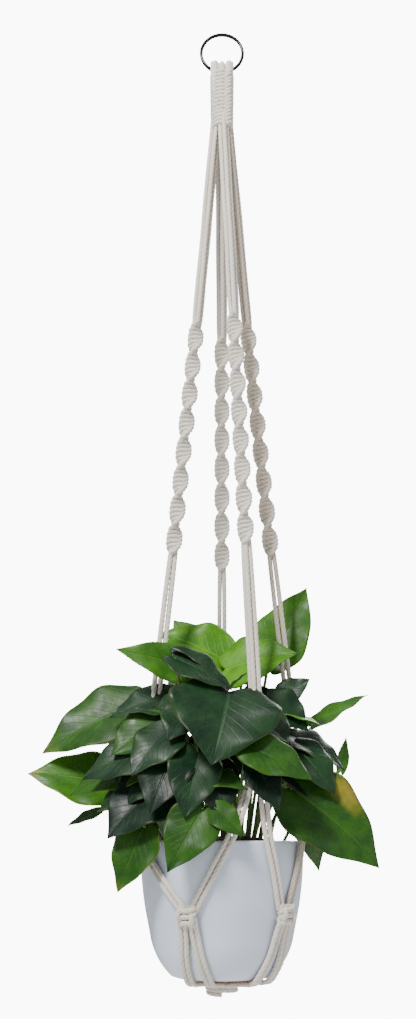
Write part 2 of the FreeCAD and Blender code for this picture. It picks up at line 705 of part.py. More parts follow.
# ----------------------------------------------------------------------------------------------------
# The whole planter
# ----------------------------------------------------------------------------------------------------
def build():
    build_ring()
    build_loops()
    build_sleeve()
    for name, quarter in QUARTERS.items():
        build_upper_cords(name, quarter)
        build_spiral(name)
    DOC.recompute()
    knots = {name: build_side_knot(name) for name in KNOTS}
    gathering = build_gathering_knot()
    DOC.recompute()
    for name in ARMS:
        build_lower_cords(name, knots)
    for name in KNOTS:
        build_base_cords(name, knots[name], gathering)
    build_pot()
    build_root_ball()
    for name, spec in LEAVES.items():
        build_leaf(name, spec)
    DOC.recompute()


def check_and_write():
    bad = [o.Name for o in DOC.Objects if {"Invalid", "Error"} & set(o.State)]
    if bad:
        raise RuntimeError(f"objects that did not recompute: {bad}")
    for label, feature in PARTS:
        if feature.Shape.isNull() or not feature.Shape.isValid() or not feature.Shape.Solids:
            raise RuntimeError(f"{label} has no valid solid")
    os.makedirs("parts", exist_ok=True)
    for label, feature in PARTS:
        feature.Shape.exportStep(f"parts/{label}.step")
        print(f"{label}: {len(feature.Shape.Solids)} solids, {feature.Shape.Volume / 1000:.2f} cm3")


build()
check_and_write()
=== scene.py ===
"""Hanging macrame planter: the looks of its ring, corded hanger, pot and plant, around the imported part.

Lengths are in millimetres until a piece's mesh is made, and meshes are in metres. Azimuths are in degrees
from the front towards +X.
"""

import json
import logging
import math
import random
from dataclasses import dataclass
from enum import Enum
from typing import Sequence

import bmesh
import bpy
from bmesh.types import BMesh
from bpy.types import Material, Node, NodeSocket, Object
from mathutils import Matrix, Vector, noise

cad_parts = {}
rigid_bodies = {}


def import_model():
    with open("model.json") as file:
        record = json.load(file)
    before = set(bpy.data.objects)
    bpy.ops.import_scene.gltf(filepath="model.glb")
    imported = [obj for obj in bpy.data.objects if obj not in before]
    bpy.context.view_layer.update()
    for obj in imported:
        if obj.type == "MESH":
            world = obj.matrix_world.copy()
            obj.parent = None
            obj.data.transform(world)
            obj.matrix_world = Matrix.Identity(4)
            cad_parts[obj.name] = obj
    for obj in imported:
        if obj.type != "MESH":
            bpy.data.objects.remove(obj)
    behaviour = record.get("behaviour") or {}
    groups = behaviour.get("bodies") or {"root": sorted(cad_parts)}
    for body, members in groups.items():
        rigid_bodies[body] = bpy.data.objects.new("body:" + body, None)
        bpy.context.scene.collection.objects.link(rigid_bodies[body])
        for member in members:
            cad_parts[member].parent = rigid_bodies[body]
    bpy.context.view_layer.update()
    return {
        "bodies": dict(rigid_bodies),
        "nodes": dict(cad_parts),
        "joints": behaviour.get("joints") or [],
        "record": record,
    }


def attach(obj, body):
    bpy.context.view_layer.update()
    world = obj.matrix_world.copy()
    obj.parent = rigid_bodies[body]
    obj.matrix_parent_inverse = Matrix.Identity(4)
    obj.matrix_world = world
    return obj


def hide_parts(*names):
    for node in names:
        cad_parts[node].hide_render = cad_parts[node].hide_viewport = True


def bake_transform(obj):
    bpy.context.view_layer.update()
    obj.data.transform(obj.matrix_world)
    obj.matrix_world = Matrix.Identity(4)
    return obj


LOG = logging.getLogger("planter")
UP = Vector((0.0, 0.0, 1.0))
Triple = tuple[float, float, float]
MM = 0.001
SEED = 5

# The driving sizes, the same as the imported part's. A pair is (radius, height) on the arms and the rim, and
# (radius, depth below the rim) on the pot.
CORD = 5.0
PITCH = 5.2
HALVES = (-0.5, 0.5)
ROW = (-1.5, -0.5, 0.5, 1.5)
SLEEVE_TOP = -50.0
SLEEVE_END = -116.5
SPIRAL_START = (27.0, -346.5)
SPIRAL_END = (52.0, -606.5)
SPLIT = (75.0, -816.5)
RIM = (81.0, -897.5)
SHOULDER = (72.0, 86.0)
SHOULDER_BEND = 330.0
FOOT = (50.0, 131.0)
FOOT_BEND = 72.0
STAND_OFF = 3.7
KNOT_DEPTH = 69.0
KNOT_TALL = 21.0
KNOT_THICK = 11.0
GATHER_TOP = 132.5
GATHER_END = 149.0
GATHER_RADIUS = 18.5
SOIL_DEPTH = 9.0
SOIL_MOUND = 13.0
# Gaps: a side knot from the wall, and two points of a mesh that count as one, in metres.
KNOT_GAP = 0.6
SAME_POINT = 0.00002

# The azimuths of each arm, of where its two pairs cross the rim, of its quarter of the sleeve, and of each
# side knot with the two (arm, pair) entries that it ties.
ARM_AZIMUTH = {"left": -78.0, "front": 28.0, "right": 85.0, "back": 180.0}
ARM_RIM = {"left": (-90.0, -67.0), "front": (6.5, 30.0), "right": (67.0, 104.0), "back": (166.0, 194.0)}
QUARTERS = {"left": -78.0, "front": 12.0, "right": 102.0, "back": 192.0}
KNOTS = {
    "front_left": (-23.0, (("left", 1), ("front", 0))),
    "front_right": (47.0, (("front", 1), ("right", 0))),
    "back_right": (135.0, (("right", 1), ("back", 0))),
    "back_left": (229.0, (("back", 1), ("left", 0))),
}


def around(azimuth: float, radius: float, z: float) -> Vector:
    """The point at an azimuth from the front towards +X, a radius and a height, in millimetres."""
    a = math.radians(azimuth)
    return Vector((radius * math.sin(a), -radius * math.cos(a), z))


def outward(azimuth: float) -> Vector:
    """The level direction away from the planter's axis."""
    return around(azimuth, 1.0, 0.0)


def sideways(azimuth: float) -> Vector:
    """The level direction round the planter, towards higher azimuths."""
    return UP.cross(outward(azimuth))


def pot_radius(depth: float) -> float:
    """The pot's outside radius at a depth below its rim, in millimetres."""
    top, low, bend = (RIM[0], 0.0), SHOULDER, SHOULDER_BEND
    if depth > SHOULDER[1]:
        top, low, bend = SHOULDER, FOOT, FOOT_BEND
    run = math.hypot(low[0] - top[0], low[1] - top[1])
    rise = math.sqrt(bend**2 - run**2 / 4)
    centre_r = (top[0] + low[0]) / 2 - (low[1] - top[1]) / run * rise
    centre_d = (top[1] + low[1]) / 2 + (low[0] - top[0]) / run * rise
    return centre_r + math.sqrt(max(bend**2 - (depth - centre_d) ** 2, 0.0))


KNOT_RADIUS = pot_radius(KNOT_DEPTH) + KNOT_THICK / 2 + KNOT_GAP


def arm_point(name: str, place: tuple[float, float]) -> Vector:
    """The point of an arm's centre line at a (radius, height)."""
    return around(ARM_AZIMUTH[name], *place)


# ----------------------------------------------------------------------------------------------------
# Mesh helpers
# ----------------------------------------------------------------------------------------------------
def smooth_line(controls: Sequence[Vector], step: float) -> list[Vector]:
    """Points along a smooth line that is led by its control points.

    Args:
        controls: the control points, in millimetres.
        step: about how far apart the points are wanted.

    Returns:
        The points, evenly spaced, read from a NURBS spline of order 3.
    """
    curve = bpy.data.curves.new("route", "CURVE")
    curve.dimensions = "3D"
    spline = curve.splines.new("NURBS")
    spline.points.add(len(controls) - 1)
    for point, control in zip(spline.points, controls):
        point.co = (*control, 1.0)
    spline.order_u = 3
    spline.use_endpoint_u = True
    spline.resolution_u = 24
    carrier = bpy.data.objects.new("route", curve)
    bpy.context.scene.collection.objects.link(carrier)
    bpy.context.view_layer.update()
    mesh = bpy.data.meshes.new_from_object(carrier)
    raw = [v.co.copy() for v in mesh.vertices]
    bpy.data.objects.remove(carrier)
    bpy.data.curves.remove(curve)
    bpy.data.meshes.remove(mesh)
    return evenly(raw, step)


def evenly(raw: Sequence[Vector], step: float) -> list[Vector]:
    """The same line with its points about a step apart, its ends kept."""
    reach = [0.0]
    for a, b in zip(raw, raw[1:]):
        reach.append(reach[-1] + (b - a).length)
    count = max(2, round(reach[-1] / step))
    points = []
    at = 0
    for index in range(count + 1):
        want = reach[-1] * index / count
        while at < len(raw) - 2 and reach[at + 1] < want:
            at += 1
        gap = max(reach[at + 1] - reach[at], 1e-9)
        points.append(raw[at].lerp(raw[at + 1], min(max((want - reach[at]) / gap, 0.0), 1.0)))
    return points


def frames_along(points: Sequence[Vector]) -> list[tuple[Vector, Vector]]:
    """Two directions across the line at each of its points, carried along it without turning round it."""
    count = len(points)
    ways = []
    for index in range(count):
        ways.append((points[min(index + 1, count - 1)] - points[max(index - 1, 0)]).normalized())
    side = ways[0].orthogonal().normalized()
    frames = []
    for way in ways:
        side = (side - way * side.dot(way)).normalized()
        frames.append((side, way.cross(side)))
    return frames


@dataclass(frozen=True)
class CordLay:
    """How a twisted cord is laid: its strands, its twist's length, its grooves and its mesh's fineness."""

    strands: int = 3
    twist: float = 17.0
    groove: float = 0.11
    sides: int = 12
    step: float = 1.5


HANGER_CORD = CordLay()
STALK_CORD = CordLay(strands=1, twist=9000.0, groove=0.0, sides=8, step=2.0)
# The length of cord that one unit of its map covers.
MAP_LENGTH = 10.0


def add_cord(target: BMesh, points: Sequence[Vector], diameter: float, lay: CordLay = HANGER_CORD) -> None:
    """Adds one twisted cord to a mesh.

    Args:
        target: the mesh that takes the cord, in metres.
        points: the cord's line, in millimetres, evenly spaced.
        diameter: the cord's outside diameter in millimetres.
        lay: how the cord is twisted.
    """
    count = len(points) - 1
    length = sum((b - a).length for a, b in zip(points, points[1:]))
    rope = bmesh.new()
    made = bmesh.ops.create_circle(rope, segments=lay.sides, radius=1.0)
    for vert in made["verts"]:
        swell = math.cos(lay.strands * math.atan2(vert.co.y, vert.co.x))
        vert.co *= (1.0 + lay.groove * (swell - 1.0) / 2) * diameter / 2
    turn = math.tau * length / lay.twist
    bmesh.ops.spin(
        rope, geom=rope.verts[:] + rope.edges[:], cent=(0, 0, 0), axis=(0, 0, 1), dvec=(0, 0, 1.0),
        angle=turn, steps=count, use_duplicate=False,
    )
    ends = [e for e in rope.edges if e.is_boundary]
    bmesh.ops.holes_fill(rope, edges=ends, sides=0)
    bmesh.ops.recalc_face_normals(rope, faces=rope.faces[:])
    uv = rope.loops.layers.uv.new("UVMap")
    for face in rope.faces:
        face.smooth = len(face.verts) < 5
        middle = face.calc_center_median()
        base = math.atan2(middle.y, middle.x)
        for loop in face.loops:
            co = loop.vert.co
            angle = math.atan2(co.y, co.x)
            angle += math.tau * round((base - angle) / math.tau)
            level = co.z * length / count
            loop[uv].uv = ((angle / math.tau - level / lay.twist), level / MAP_LENGTH)
    frames = frames_along(points)
    for vert in rope.verts:
        ring = min(count, max(0, round(vert.co.z)))
        side, other = frames[ring]
        vert.co = (points[ring] + side * vert.co.x + other * vert.co.y) * MM
    join(target, rope)


def join(target: BMesh, extra: BMesh) -> None:
    """Copies one mesh into another and frees it."""
    mesh = bpy.data.meshes.new("part")
    extra.to_mesh(mesh)
    extra.free()
    target.from_mesh(mesh)
    bpy.data.meshes.remove(mesh)


def lathed(profile: Sequence[tuple[float, float]], steps: int, same: float, merge: bool) -> BMesh:
    """A closed profile turned round the planter's axis.

    Args:
        profile: its (radius, depth below the rim) points, from the axis round to the axis.
        steps: how many steps the turn is made in.
        same: how near two points count as one, in metres.
        merge: whether the last step is joined to the first while it is turned.

    Returns:
        The solid's mesh.
    """
    shape = bmesh.new()
    verts = [shape.verts.new(Vector((radius, 0.0, RIM[1] - depth)) * MM) for radius, depth in profile]
    edges = [shape.edges.new(pair) for pair in zip(verts, verts[1:])]
    bmesh.ops.spin(
        shape, geom=verts + edges, cent=(0, 0, 0), axis=(0, 0, 1), angle=math.tau, steps=steps, use_merge=merge
    )
    bmesh.ops.remove_doubles(shape, verts=shape.verts[:], dist=same)
    bmesh.ops.recalc_face_normals(shape, faces=shape.faces[:])
    return shape


def finished(name: str, shape: BMesh, *materials: Material) -> Object:
    """Makes a mesh into a named object with its materials.

    Args:
        name: the piece's name.
        shape: its mesh, in metres, which is freed.
        materials: its material slots, in order.

    Returns:
        The object, at the origin.
    """
    mesh = bpy.data.meshes.new(name)
    shape.to_mesh(mesh)
    shape.free()
    for material in materials:
        mesh.materials.append(material)
    piece = bpy.data.objects.new(name, mesh)
    bpy.context.scene.collection.objects.link(piece)
    LOG.info("%s: %d faces", name, len(mesh.polygons))
    return piece


# ----------------------------------------------------------------------------------------------------
# Finishes
# ----------------------------------------------------------------------------------------------------
class Graph:
    """A short way to write a material's nodes."""

    def __init__(self, name: str) -> None:
        """Starts an empty material with a shader and its output."""
        self.material = bpy.data.materials.new(name)
        self.material.use_nodes = True
        self.tree = self.material.node_tree
        self.shader = self.tree.nodes["Principled BSDF"]

    def node(self, kind: str, **settings: object) -> Node:
        """Adds a node and gives its own settings their values."""
        made = self.tree.nodes.new(kind)
        for key, value in settings.items():
            setattr(made, key, value)
        return made

    def feed(self, socket: NodeSocket, value: object) -> None:
        """Links an output to a socket, or sets the socket's own value."""
        if isinstance(value, NodeSocket):
            self.tree.links.new(value, socket)
        elif isinstance(value, tuple) and len(value) == 3 and socket.type == "RGBA":
            socket.default_value = (*value, 1.0)
        else:
            socket.default_value = value

    def math(self, operation: str, *values: object) -> NodeSocket:
        """One step of arithmetic."""
        made = self.node("ShaderNodeMath", operation=operation)
        for socket, value in zip(made.inputs, values):
            self.feed(socket, value)
        return made.outputs[0]

    def ramp(self, value: object, low: float, high: float, to_low: float = 0.0,
             to_high: float = 1.0) -> NodeSocket:
        """Carries a value smoothly from one range to another, clamped."""
        made = self.node("ShaderNodeMapRange", interpolation_type="SMOOTHSTEP", clamp=True)
        for socket, given in zip(made.inputs[:5], (value, low, high, to_low, to_high)):
            self.feed(socket, given)
        return made.outputs[0]

    def mix(self, share: object, a: object, b: object) -> NodeSocket:
        """Mixes two colours."""
        made = self.node("ShaderNodeMix", data_type="RGBA", clamp_factor=True)
        self.feed(made.inputs["Factor"], share)
        self.feed(made.inputs[6], a)
        self.feed(made.inputs[7], b)
        return made.outputs[2]

    def place(self) -> NodeSocket:
        """The object's own coordinates, in metres."""
        return self.node("ShaderNodeTexCoord").outputs["Object"]

    def surface(self) -> tuple[NodeSocket, NodeSocket]:
        """The piece's own map, as its two coordinates."""
        split = self.node("ShaderNodeSeparateXYZ")
        self.tree.links.new(self.node("ShaderNodeUVMap", uv_map="UVMap").outputs[0], split.inputs[0])
        return split.outputs[0], split.outputs[1]

    def noise(self, place: NodeSocket, scale: float, detail: float = 3.0,
              rough: float = 0.5) -> NodeSocket:
        """Soft noise from 0 to 1."""
        made = self.node("ShaderNodeTexNoise")
        self.feed(made.inputs["Vector"], place)
        made.inputs["Scale"].default_value = scale
        made.inputs["Detail"].default_value = detail
        made.inputs["Roughness"].default_value = rough
        return made.outputs[0]

    def bump(self, height: object, distance: float, strength: float = 1.0) -> None:
        """Raises the surface by a height, in metres times the distance."""
        made = self.node("ShaderNodeBump")
        made.inputs["Strength"].default_value = strength
        made.inputs["Distance"].default_value = distance
        self.feed(made.inputs["Height"], height)
        self.feed(self.shader.inputs["Normal"], made.outputs[0])

    def finish(self, colour: object, roughness: object, **levels: float) -> Material:
        """Sets the shader's colour, roughness and other named levels, and gives the material."""
        self.feed(self.shader.inputs["Base Color"], colour)
        self.feed(self.shader.inputs["Roughness"], roughness)
        for key, value in levels.items():
            self.feed(self.shader.inputs[key.replace("_", " ")], value)
        return self.material


@dataclass(frozen=True)
class CottonFinish:
    """Natural cotton cord: soft fibres that run with the strands, and painted shade in the grooves between
    them.
    """

    name: str = "cotton_cord"
    crown: Triple = (0.86, 0.81, 0.72)
    # The painted shade colour of the grooves between strands; it also darkens the faint lines between fibres.
    groove: Triple = (0.46, 0.41, 0.34)
    stain: Triple = (0.62, 0.55, 0.44)
    strands: int = 3
    fibres: float = 21.0

    def material(self) -> Material:
        """The cord's material."""
        g = Graph(self.name)
        place = g.place()
        u, _ = g.surface()
        wander = g.math("MULTIPLY", g.noise(place, 700.0, 2.0), 0.5)
        strand = g.math("COSINE", g.math("MULTIPLY", u, math.tau * self.strands))
        laid = g.math("ADD", g.math("MULTIPLY", u, self.fibres), wander)
        fibre = g.math("SINE", g.math("MULTIPLY", laid, math.tau))
        fuzz = g.noise(place, 2600.0, 2.0)
        # Painted shade: the grooves between the strands are darkened towards the groove colour.
        depth = g.ramp(strand, -1.0, 0.2, 1.0, 0.0)
        colour = g.mix(g.math("MULTIPLY", depth, 0.34), self.crown, self.groove)
        stain = g.ramp(g.noise(place, 45.0, 2.0), 0.35, 0.7, 0.0, 0.22)
        colour = g.mix(stain, colour, self.stain)
        colour = g.mix(g.math("MULTIPLY", g.ramp(fibre, -1.0, 0.4, 1.0, 0.0), 0.16), colour, self.groove)
        height = g.math("ADD", g.math("MULTIPLY", fibre, 0.35), fuzz)
        g.bump(height, 0.00016)
        return g.finish(colour, 0.92, Sheen_Weight=0.35, Sheen_Roughness=0.5, Specular_IOR_Level=0.2)


@dataclass(frozen=True)
class BlackSteelFinish:
    """The ring's polished black plating, a little worn and finely scratched."""

    name: str = "ring_black"

    def material(self) -> Material:
        """The ring's material."""
        g = Graph(self.name)
        place = g.place()
        worn = g.ramp(g.noise(place, 180.0, 4.0), 0.62, 0.78, 0.0, 0.25)
        colour = g.mix(worn, (0.008, 0.008, 0.014), (0.05, 0.05, 0.06))
        rough = g.ramp(g.noise(place, 420.0, 5.0), 0.3, 0.75, 0.16, 0.34)
        g.bump(g.noise(place, 1500.0, 3.0), 0.00002)
        return g.finish(colour, rough, Metallic=0.7, Coat_Weight=0.15, Coat_Roughness=0.08)


@dataclass(frozen=True)
class GlazeFinish:
    """The pot's cool white glaze: glossy, faintly uneven, and a little thinner on its rim."""

    name: str = "pot_glaze"
    rim_height: float = RIM[1] * MM

    def material(self) -> Material:
        """The pot's material."""
        g = Graph(self.name)
        place = g.place()
        split = g.node("ShaderNodeSeparateXYZ")
        g.feed(split.inputs[0], place)
        pooled = g.noise(place, 14.0, 3.0)
        colour = g.mix(g.ramp(pooled, 0.35, 0.65), (0.635, 0.71, 0.83), (0.695, 0.765, 0.875))
        at_rim = g.ramp(split.outputs[2], self.rim_height - 0.0022, self.rim_height - 0.0002)
        colour = g.mix(g.math("MULTIPLY", at_rim, 0.5), colour, (0.80, 0.82, 0.84))
        speck = g.ramp(g.noise(place, 900.0, 1.0), 0.74, 0.79, 0.0, 0.25)
        colour = g.mix(speck, colour, (0.42, 0.44, 0.46))
        rough = g.ramp(g.noise(place, 60.0, 3.0), 0.3, 0.7, 0.13, 0.22)
        g.bump(g.noise(place, 35.0, 2.0), 0.00035, 0.6)
        return g.finish(colour, rough, Coat_Weight=0.35, Coat_Roughness=0.05, Specular_IOR_Level=0.5)


@dataclass(frozen=True)
class ClayFinish:
    """Painted shadow: the thin reddish-brown line round the pot's foot, with a fine grain."""

    name: str = "bare_clay"

    def material(self) -> Material:
        """The painted foot shadow's material."""
        g = Graph(self.name)
        grain = g.noise(g.place(), 500.0, 4.0)
        g.bump(grain, 0.0001)
        return g.finish(g.mix(g.ramp(grain, 0.3, 0.7), (0.30, 0.15, 0.09), (0.42, 0.25, 0.16)), 0.8)


@dataclass(frozen=True)
class SoilFinish:
    """Dark damp potting mix with a few pale grains."""

    name: str = "potting_soil"

    def material(self) -> Material:
        """The soil's material."""
        g = Graph(self.name)
        place = g.place()
        clods = g.noise(place, 160.0, 6.0, 0.65)
        colour = g.mix(g.ramp(clods, 0.35, 0.7), (0.012, 0.009, 0.007), (0.075, 0.052, 0.036))
        grain = g.node("ShaderNodeTexVoronoi")
        g.feed(grain.inputs["Vector"], place)
        grain.inputs["Scale"].default_value = 240.0
        pale = g.ramp(grain.outputs["Distance"], 0.10, 0.16, 1.0, 0.0)
        rare = g.ramp(g.noise(place, 95.0, 1.0), 0.62, 0.66)
        colour = g.mix(g.math("MULTIPLY", pale, rare), colour, (0.45, 0.42, 0.36))
        g.bump(g.math("ADD", clods, g.math("MULTIPLY", grain.outputs["Distance"], 0.5)), 0.0018)
        return g.finish(colour, 0.93)


class LeafTone(Enum):
    """How light or dark a leaf's green is: its shaded green, its lit green and its vein colour. The tones are
    partly the leaves' own variety and partly painted light: the brighter ones paint the light that falls on and
    through the upper leaves, and the darkest paint the shade deep in the plant.
    """

    BRIGHT = ((0.036, 0.150, 0.002), (0.085, 0.260, 0.005), (0.15, 0.32, 0.03))
    FRESH = ((0.018, 0.085, 0.003), (0.045, 0.155, 0.005), (0.08, 0.20, 0.02))
    MID = ((0.009, 0.047, 0.003), (0.024, 0.092, 0.004), (0.045, 0.13, 0.012))
    DEEP = ((0.003, 0.018, 0.007), (0.010, 0.040, 0.011), (0.022, 0.068, 0.022))
    DARK = ((0.0015, 0.009, 0.005), (0.004, 0.021, 0.008), (0.012, 0.038, 0.016))


@dataclass(frozen=True)
class LeafFinish:
    """A waxy leaf: a light midrib, curved side veins, mottled green and, on some, a yellowed edge or patch."""

    tone: LeafTone
    under: bool = False
    yellow: float = 0.0
    patch: Triple = (0.0, 0.0, 0.0)
    side_veins: float = 9.0
    pale_shade: Triple = (0.10, 0.17, 0.07)
    pale_lit: Triple = (0.16, 0.26, 0.11)
    yellowed: Triple = (0.36, 0.34, 0.06)
    browned: Triple = (0.42, 0.30, 0.03)

    def title(self) -> str:
        """The material's name, which says what sets it apart."""
        side = "under" if self.under else "top"
        spot = "_".join(str(round(100 * abs(x))) for x in self.patch)
        return f"leaf_{self.tone.name.lower()}_{side}_{round(100 * self.yellow)}_{spot}"

    def material(self) -> Material:
        """The leaf's material, made once and shared by leaves of the same finish."""
        kept = bpy.data.materials.get(self.title())
        if kept:
            return kept
        g = Graph(self.title())
        shade, lit, vein = self.tone.value
        if self.under:
            shade = tuple(0.6 * c + 0.4 * m for c, m in zip(shade, self.pale_shade))
            lit = tuple(0.6 * c + 0.4 * m for c, m in zip(lit, self.pale_lit))
        place = g.place()
        u, v = g.surface()
        off = g.math("ABSOLUTE", g.math("MULTIPLY_ADD", v, 2.0, -1.0))
        rib = g.ramp(off, 0.012, 0.055, 1.0, 0.0)
        swept = g.math("MULTIPLY", g.math("POWER", off, 0.8), 3.2)
        bowed = g.math("SUBTRACT", g.math("MULTIPLY", u, self.side_veins), swept)
        wave = g.math("ABSOLUTE", g.math("SINE", g.math("MULTIPLY", bowed, math.pi)))
        side_vein = g.ramp(wave, 0.03, 0.22, 1.0, 0.0)
        side_vein = g.math("MULTIPLY", side_vein, g.ramp(off, 0.75, 0.98, 1.0, 0.0))
        mottle = g.noise(place, 38.0, 4.0, 0.6)
        fine = g.noise(place, 420.0, 3.0)
        colour = g.mix(g.ramp(mottle, 0.34, 0.68), shade, lit)
        colour = g.mix(g.ramp(fine, 0.45, 0.8, 0.0, 0.22), colour, vein)
        colour = g.mix(g.math("MULTIPLY", side_vein, 0.16), colour, vein)
        colour = g.mix(g.math("MULTIPLY", rib, 0.55), colour, vein)
        rim = g.math("MULTIPLY", g.ramp(off, 0.93, 1.0), 0.08 + self.yellow)
        tip = g.math("MULTIPLY", g.ramp(u, 0.80, 1.0), self.yellow)
        colour = g.mix(g.math("MINIMUM", g.math("ADD", rim, tip), 0.9), colour, self.yellowed)
        if self.patch[2] > 0.0:
            apart_u = g.math("POWER", g.math("SUBTRACT", u, self.patch[0]), 2.0)
            apart_v = g.math("POWER", g.math("SUBTRACT", v, self.patch[1]), 2.0)
            apart = g.math("SQRT", g.math("ADD", apart_u, apart_v))
            apart = g.math("ADD", apart, g.math("MULTIPLY", g.noise(place, 120.0, 3.0), 0.22))
            spot = g.ramp(apart, self.patch[2] * 0.6, self.patch[2] + 0.2, 0.6, 0.0)
            colour = g.mix(spot, colour, self.browned)
        height = g.math("SUBTRACT", g.math("MULTIPLY", mottle, 0.6), g.math("MULTIPLY", side_vein, 0.14))
        height = g.math("SUBTRACT", height, g.math("MULTIPLY", rib, 0.8))
        height = g.math("ADD", height, g.math("MULTIPLY", fine, 0.12))
        g.bump(height, 0.0007)
        smoothest, roughest = (0.50, 0.62) if self.under else (0.36, 0.50)
        rough = g.ramp(g.noise(place, 110.0, 3.0), 0.3, 0.7, smoothest, roughest)
        return g.finish(colour, rough, Specular_IOR_Level=0.24)


@dataclass(frozen=True)
class StalkFinish:
    """A leaf's stalk: yellow-green and smooth."""

    name: str = "leaf_stalk"

    def material(self) -> Material:
        """The stalk's material."""
        g = Graph(self.name)
        place = g.place()
        colour = g.mix(g.ramp(g.noise(place, 60.0, 3.0), 0.3, 0.7), (0.09, 0.19, 0.03), (0.22, 0.30, 0.07))
        g.bump(g.noise(place, 500.0, 2.0), 0.0001)
        return g.finish(colour, 0.42)


# ----------------------------------------------------------------------------------------------------
# The corded hanger
# ----------------------------------------------------------------------------------------------------
# How strongly a winding is levelled over the broad faces, as a share of its pitch.
LEVEL_SHARE = 0.082
# How much longer a spiral dwells broadside than edge-on as it turns, which makes its lumps round.
DWELL = 0.22
WINDING_POINTS = 26
WINDING_STEP = HANGER_CORD.step * 0.9


def winding(start: Vector, end: Vector, wide: Vector, half_wide: float, half_thick: float,
            pitch: float, phase: float, half_turns: float) -> list[Vector]:
    """The line of one working cord wound round a flat core that itself turns along the way.

    Args:
        start: where the core begins.
        end: where the core ends.
        wide: the way the core's broad side faces at the start.
        half_wide: half the core's width, to the cord's middle.
        half_thick: half the core's thickness, to the cord's middle.
        pitch: the height that one whole winding takes.
        phase: where on the winding the cord starts, in radians.
        half_turns: how many half turns the core makes over its length.

    Returns:
        The cord's points, about evenly spaced, in millimetres.
    """
    way = end - start
    length = way.length
    way.normalize()
    wide = (wide - way * wide.dot(way)).normalized()
    thin = way.cross(wide)
    raw = []
    count = round(length / pitch * WINDING_POINTS)
    for index in range(count + 1):
        share = index / count
        angle = phase + math.tau * share * length / pitch
        turned = math.pi * half_turns * share
        turned += DWELL * math.sin(2 * turned)
        broad = wide * math.cos(turned) + thin * math.sin(turned)
        narrow = thin * math.cos(turned) - wide * math.sin(turned)
        # The cord runs nearly level over the broad faces and drops at the narrow edges, as a pulled knot does.
        level = length * share + math.sin(2 * angle) * pitch * LEVEL_SHARE
        beside = broad * (half_wide * math.cos(angle))
        raw.append(start + way * level + beside + narrow * (half_thick * math.sin(angle)))
    return evenly(raw, WINDING_STEP)


@dataclass
class RingLoops:
    """The eight cords folded over the ring: five against the wire and three fat ones over them.

    Their legs run down into the sleeve. The clearance from the wire is room for the hanger to swing.
    """

    cotton: Material
    wire_radius: float = 1.75
    mean_radius: float = 23.25
    centre_z: float = -21.5
    leg_end: float = -74.0
    sleeve_mouth: float = -56.0
    clearance: float = 1.5
    draw_in: float = 0.12
    fat_out: float = 0.5
    fat_pitch: float = 1.48 * PITCH
    fat_cord: float = 7.2

    def folded(self, beside: float, bend: float, lean: float) -> list[Vector]:
        """One folded cord's line over the wire.

        Args:
            beside: how far it lies beside the ring's lowest point.
            bend: the radius of its fold.
            lean: how far its legs draw in or out at the sleeve.

        Returns:
            Its points in millimetres.
        """
        crest = self.centre_z - math.sqrt(self.mean_radius**2 - beside**2)
        raw = []
        for way in (-1, 1):
            leg = [
                Vector((beside + lean, way * (bend + 0.2), self.leg_end)),
                Vector((beside + lean, way * bend, self.sleeve_mouth)),
                Vector((beside, way * bend, crest - 6.0)),
                Vector((beside, way * bend, crest + bend * 0.45)),
                Vector((beside, way * bend * 0.72, crest + bend * 1.02)),
            ]
            raw += leg if way < 0 else reversed(leg)
        return smooth_line(raw, HANGER_CORD.step)

    def build(self) -> Object:
        """Builds the loops."""
        shape = bmesh.new()
        inner = self.wire_radius + CORD / 2 + self.clearance
        layers = ((inner, 5, PITCH, CORD), (inner + self.fat_out, 3, self.fat_pitch, self.fat_cord))
        for bend, count, pitch, thick in layers:
            for index in range(count):
                beside = (index - (count - 1) / 2) * pitch
                add_cord(shape, self.folded(beside, bend, -self.draw_in * beside), thick)
        return finished("folded_loops", shape, self.cotton)


@dataclass
class WrapSleeve:
    """The sleeve of knotted wrapping cord: level wraps, and a ridge of side bumps down two opposite flanks."""

    cotton: Material
    rows: int = 15
    ridge_azimuths: tuple[float, float] = (40.0, 214.0)
    top_radius: float = 13.5
    end_radius: float = 12.6
    segments: int = 96
    tilt: float = 0.35

    def radius(self, z: float) -> float:
        """The sleeve's outside radius at a height."""
        share = (SLEEVE_TOP - z) / (SLEEVE_TOP - SLEEVE_END)
        return self.top_radius + (self.end_radius - self.top_radius) * share

    def build(self, rng: random.Random) -> Object:
        """Builds the sleeve.

        Args:
            rng: the source of its small unevenness.

        Returns:
            The sleeve.
        """
        shape = bmesh.new()
        pitch = (SLEEVE_TOP - SLEEVE_END) / self.rows
        for row in range(self.rows):
            z = SLEEVE_TOP - pitch * (row + 0.5)
            radius = self.radius(z) - pitch * 0.52
            tilt = rng.uniform(-self.tilt, self.tilt)
            turn = rng.uniform(0.0, 360.0)
            raw = []
            for index in range(self.segments + 1):
                azimuth = turn + index * 360.0 / self.segments
                raw.append(around(azimuth, radius, z + tilt * math.sin(math.radians(azimuth))))
            add_cord(shape, evenly(raw, HANGER_CORD.step), pitch * 1.08)
            for azimuth in self.ridge_azimuths:
                self.bump(shape, azimuth + rng.uniform(-3.0, 3.0), z, radius, pitch)
        return finished("wrap_sleeve_cords", shape, self.cotton)

    def bump(self, shape: BMesh, azimuth: float, z: float, radius: float, pitch: float) -> None:
        """Adds the short loop where the wrapping cord turns back over a row.

        Args:
            shape: the sleeve's mesh.
            azimuth: where the bump stands.
            z: the row's height.
            radius: the row's radius.
            pitch: the rows' spacing.
        """
        raw = [
            around(azimuth + 24.0, radius - 1.2, z + pitch * 0.10),
            around(azimuth + 15.0, radius + 1.0, z + pitch * 0.42),
            around(azimuth + 4.0, radius + 2.7, z + pitch * 0.50),
            around(azimuth - 6.0, radius + 2.7, z - pitch * 0.30),
            around(azimuth - 16.0, radius + 0.8, z - pitch * 0.45),
            around(azimuth - 24.0, radius - 1.2, z - pitch * 0.20),
        ]
        add_cord(shape, smooth_line(raw, 1.0), pitch * 0.98)


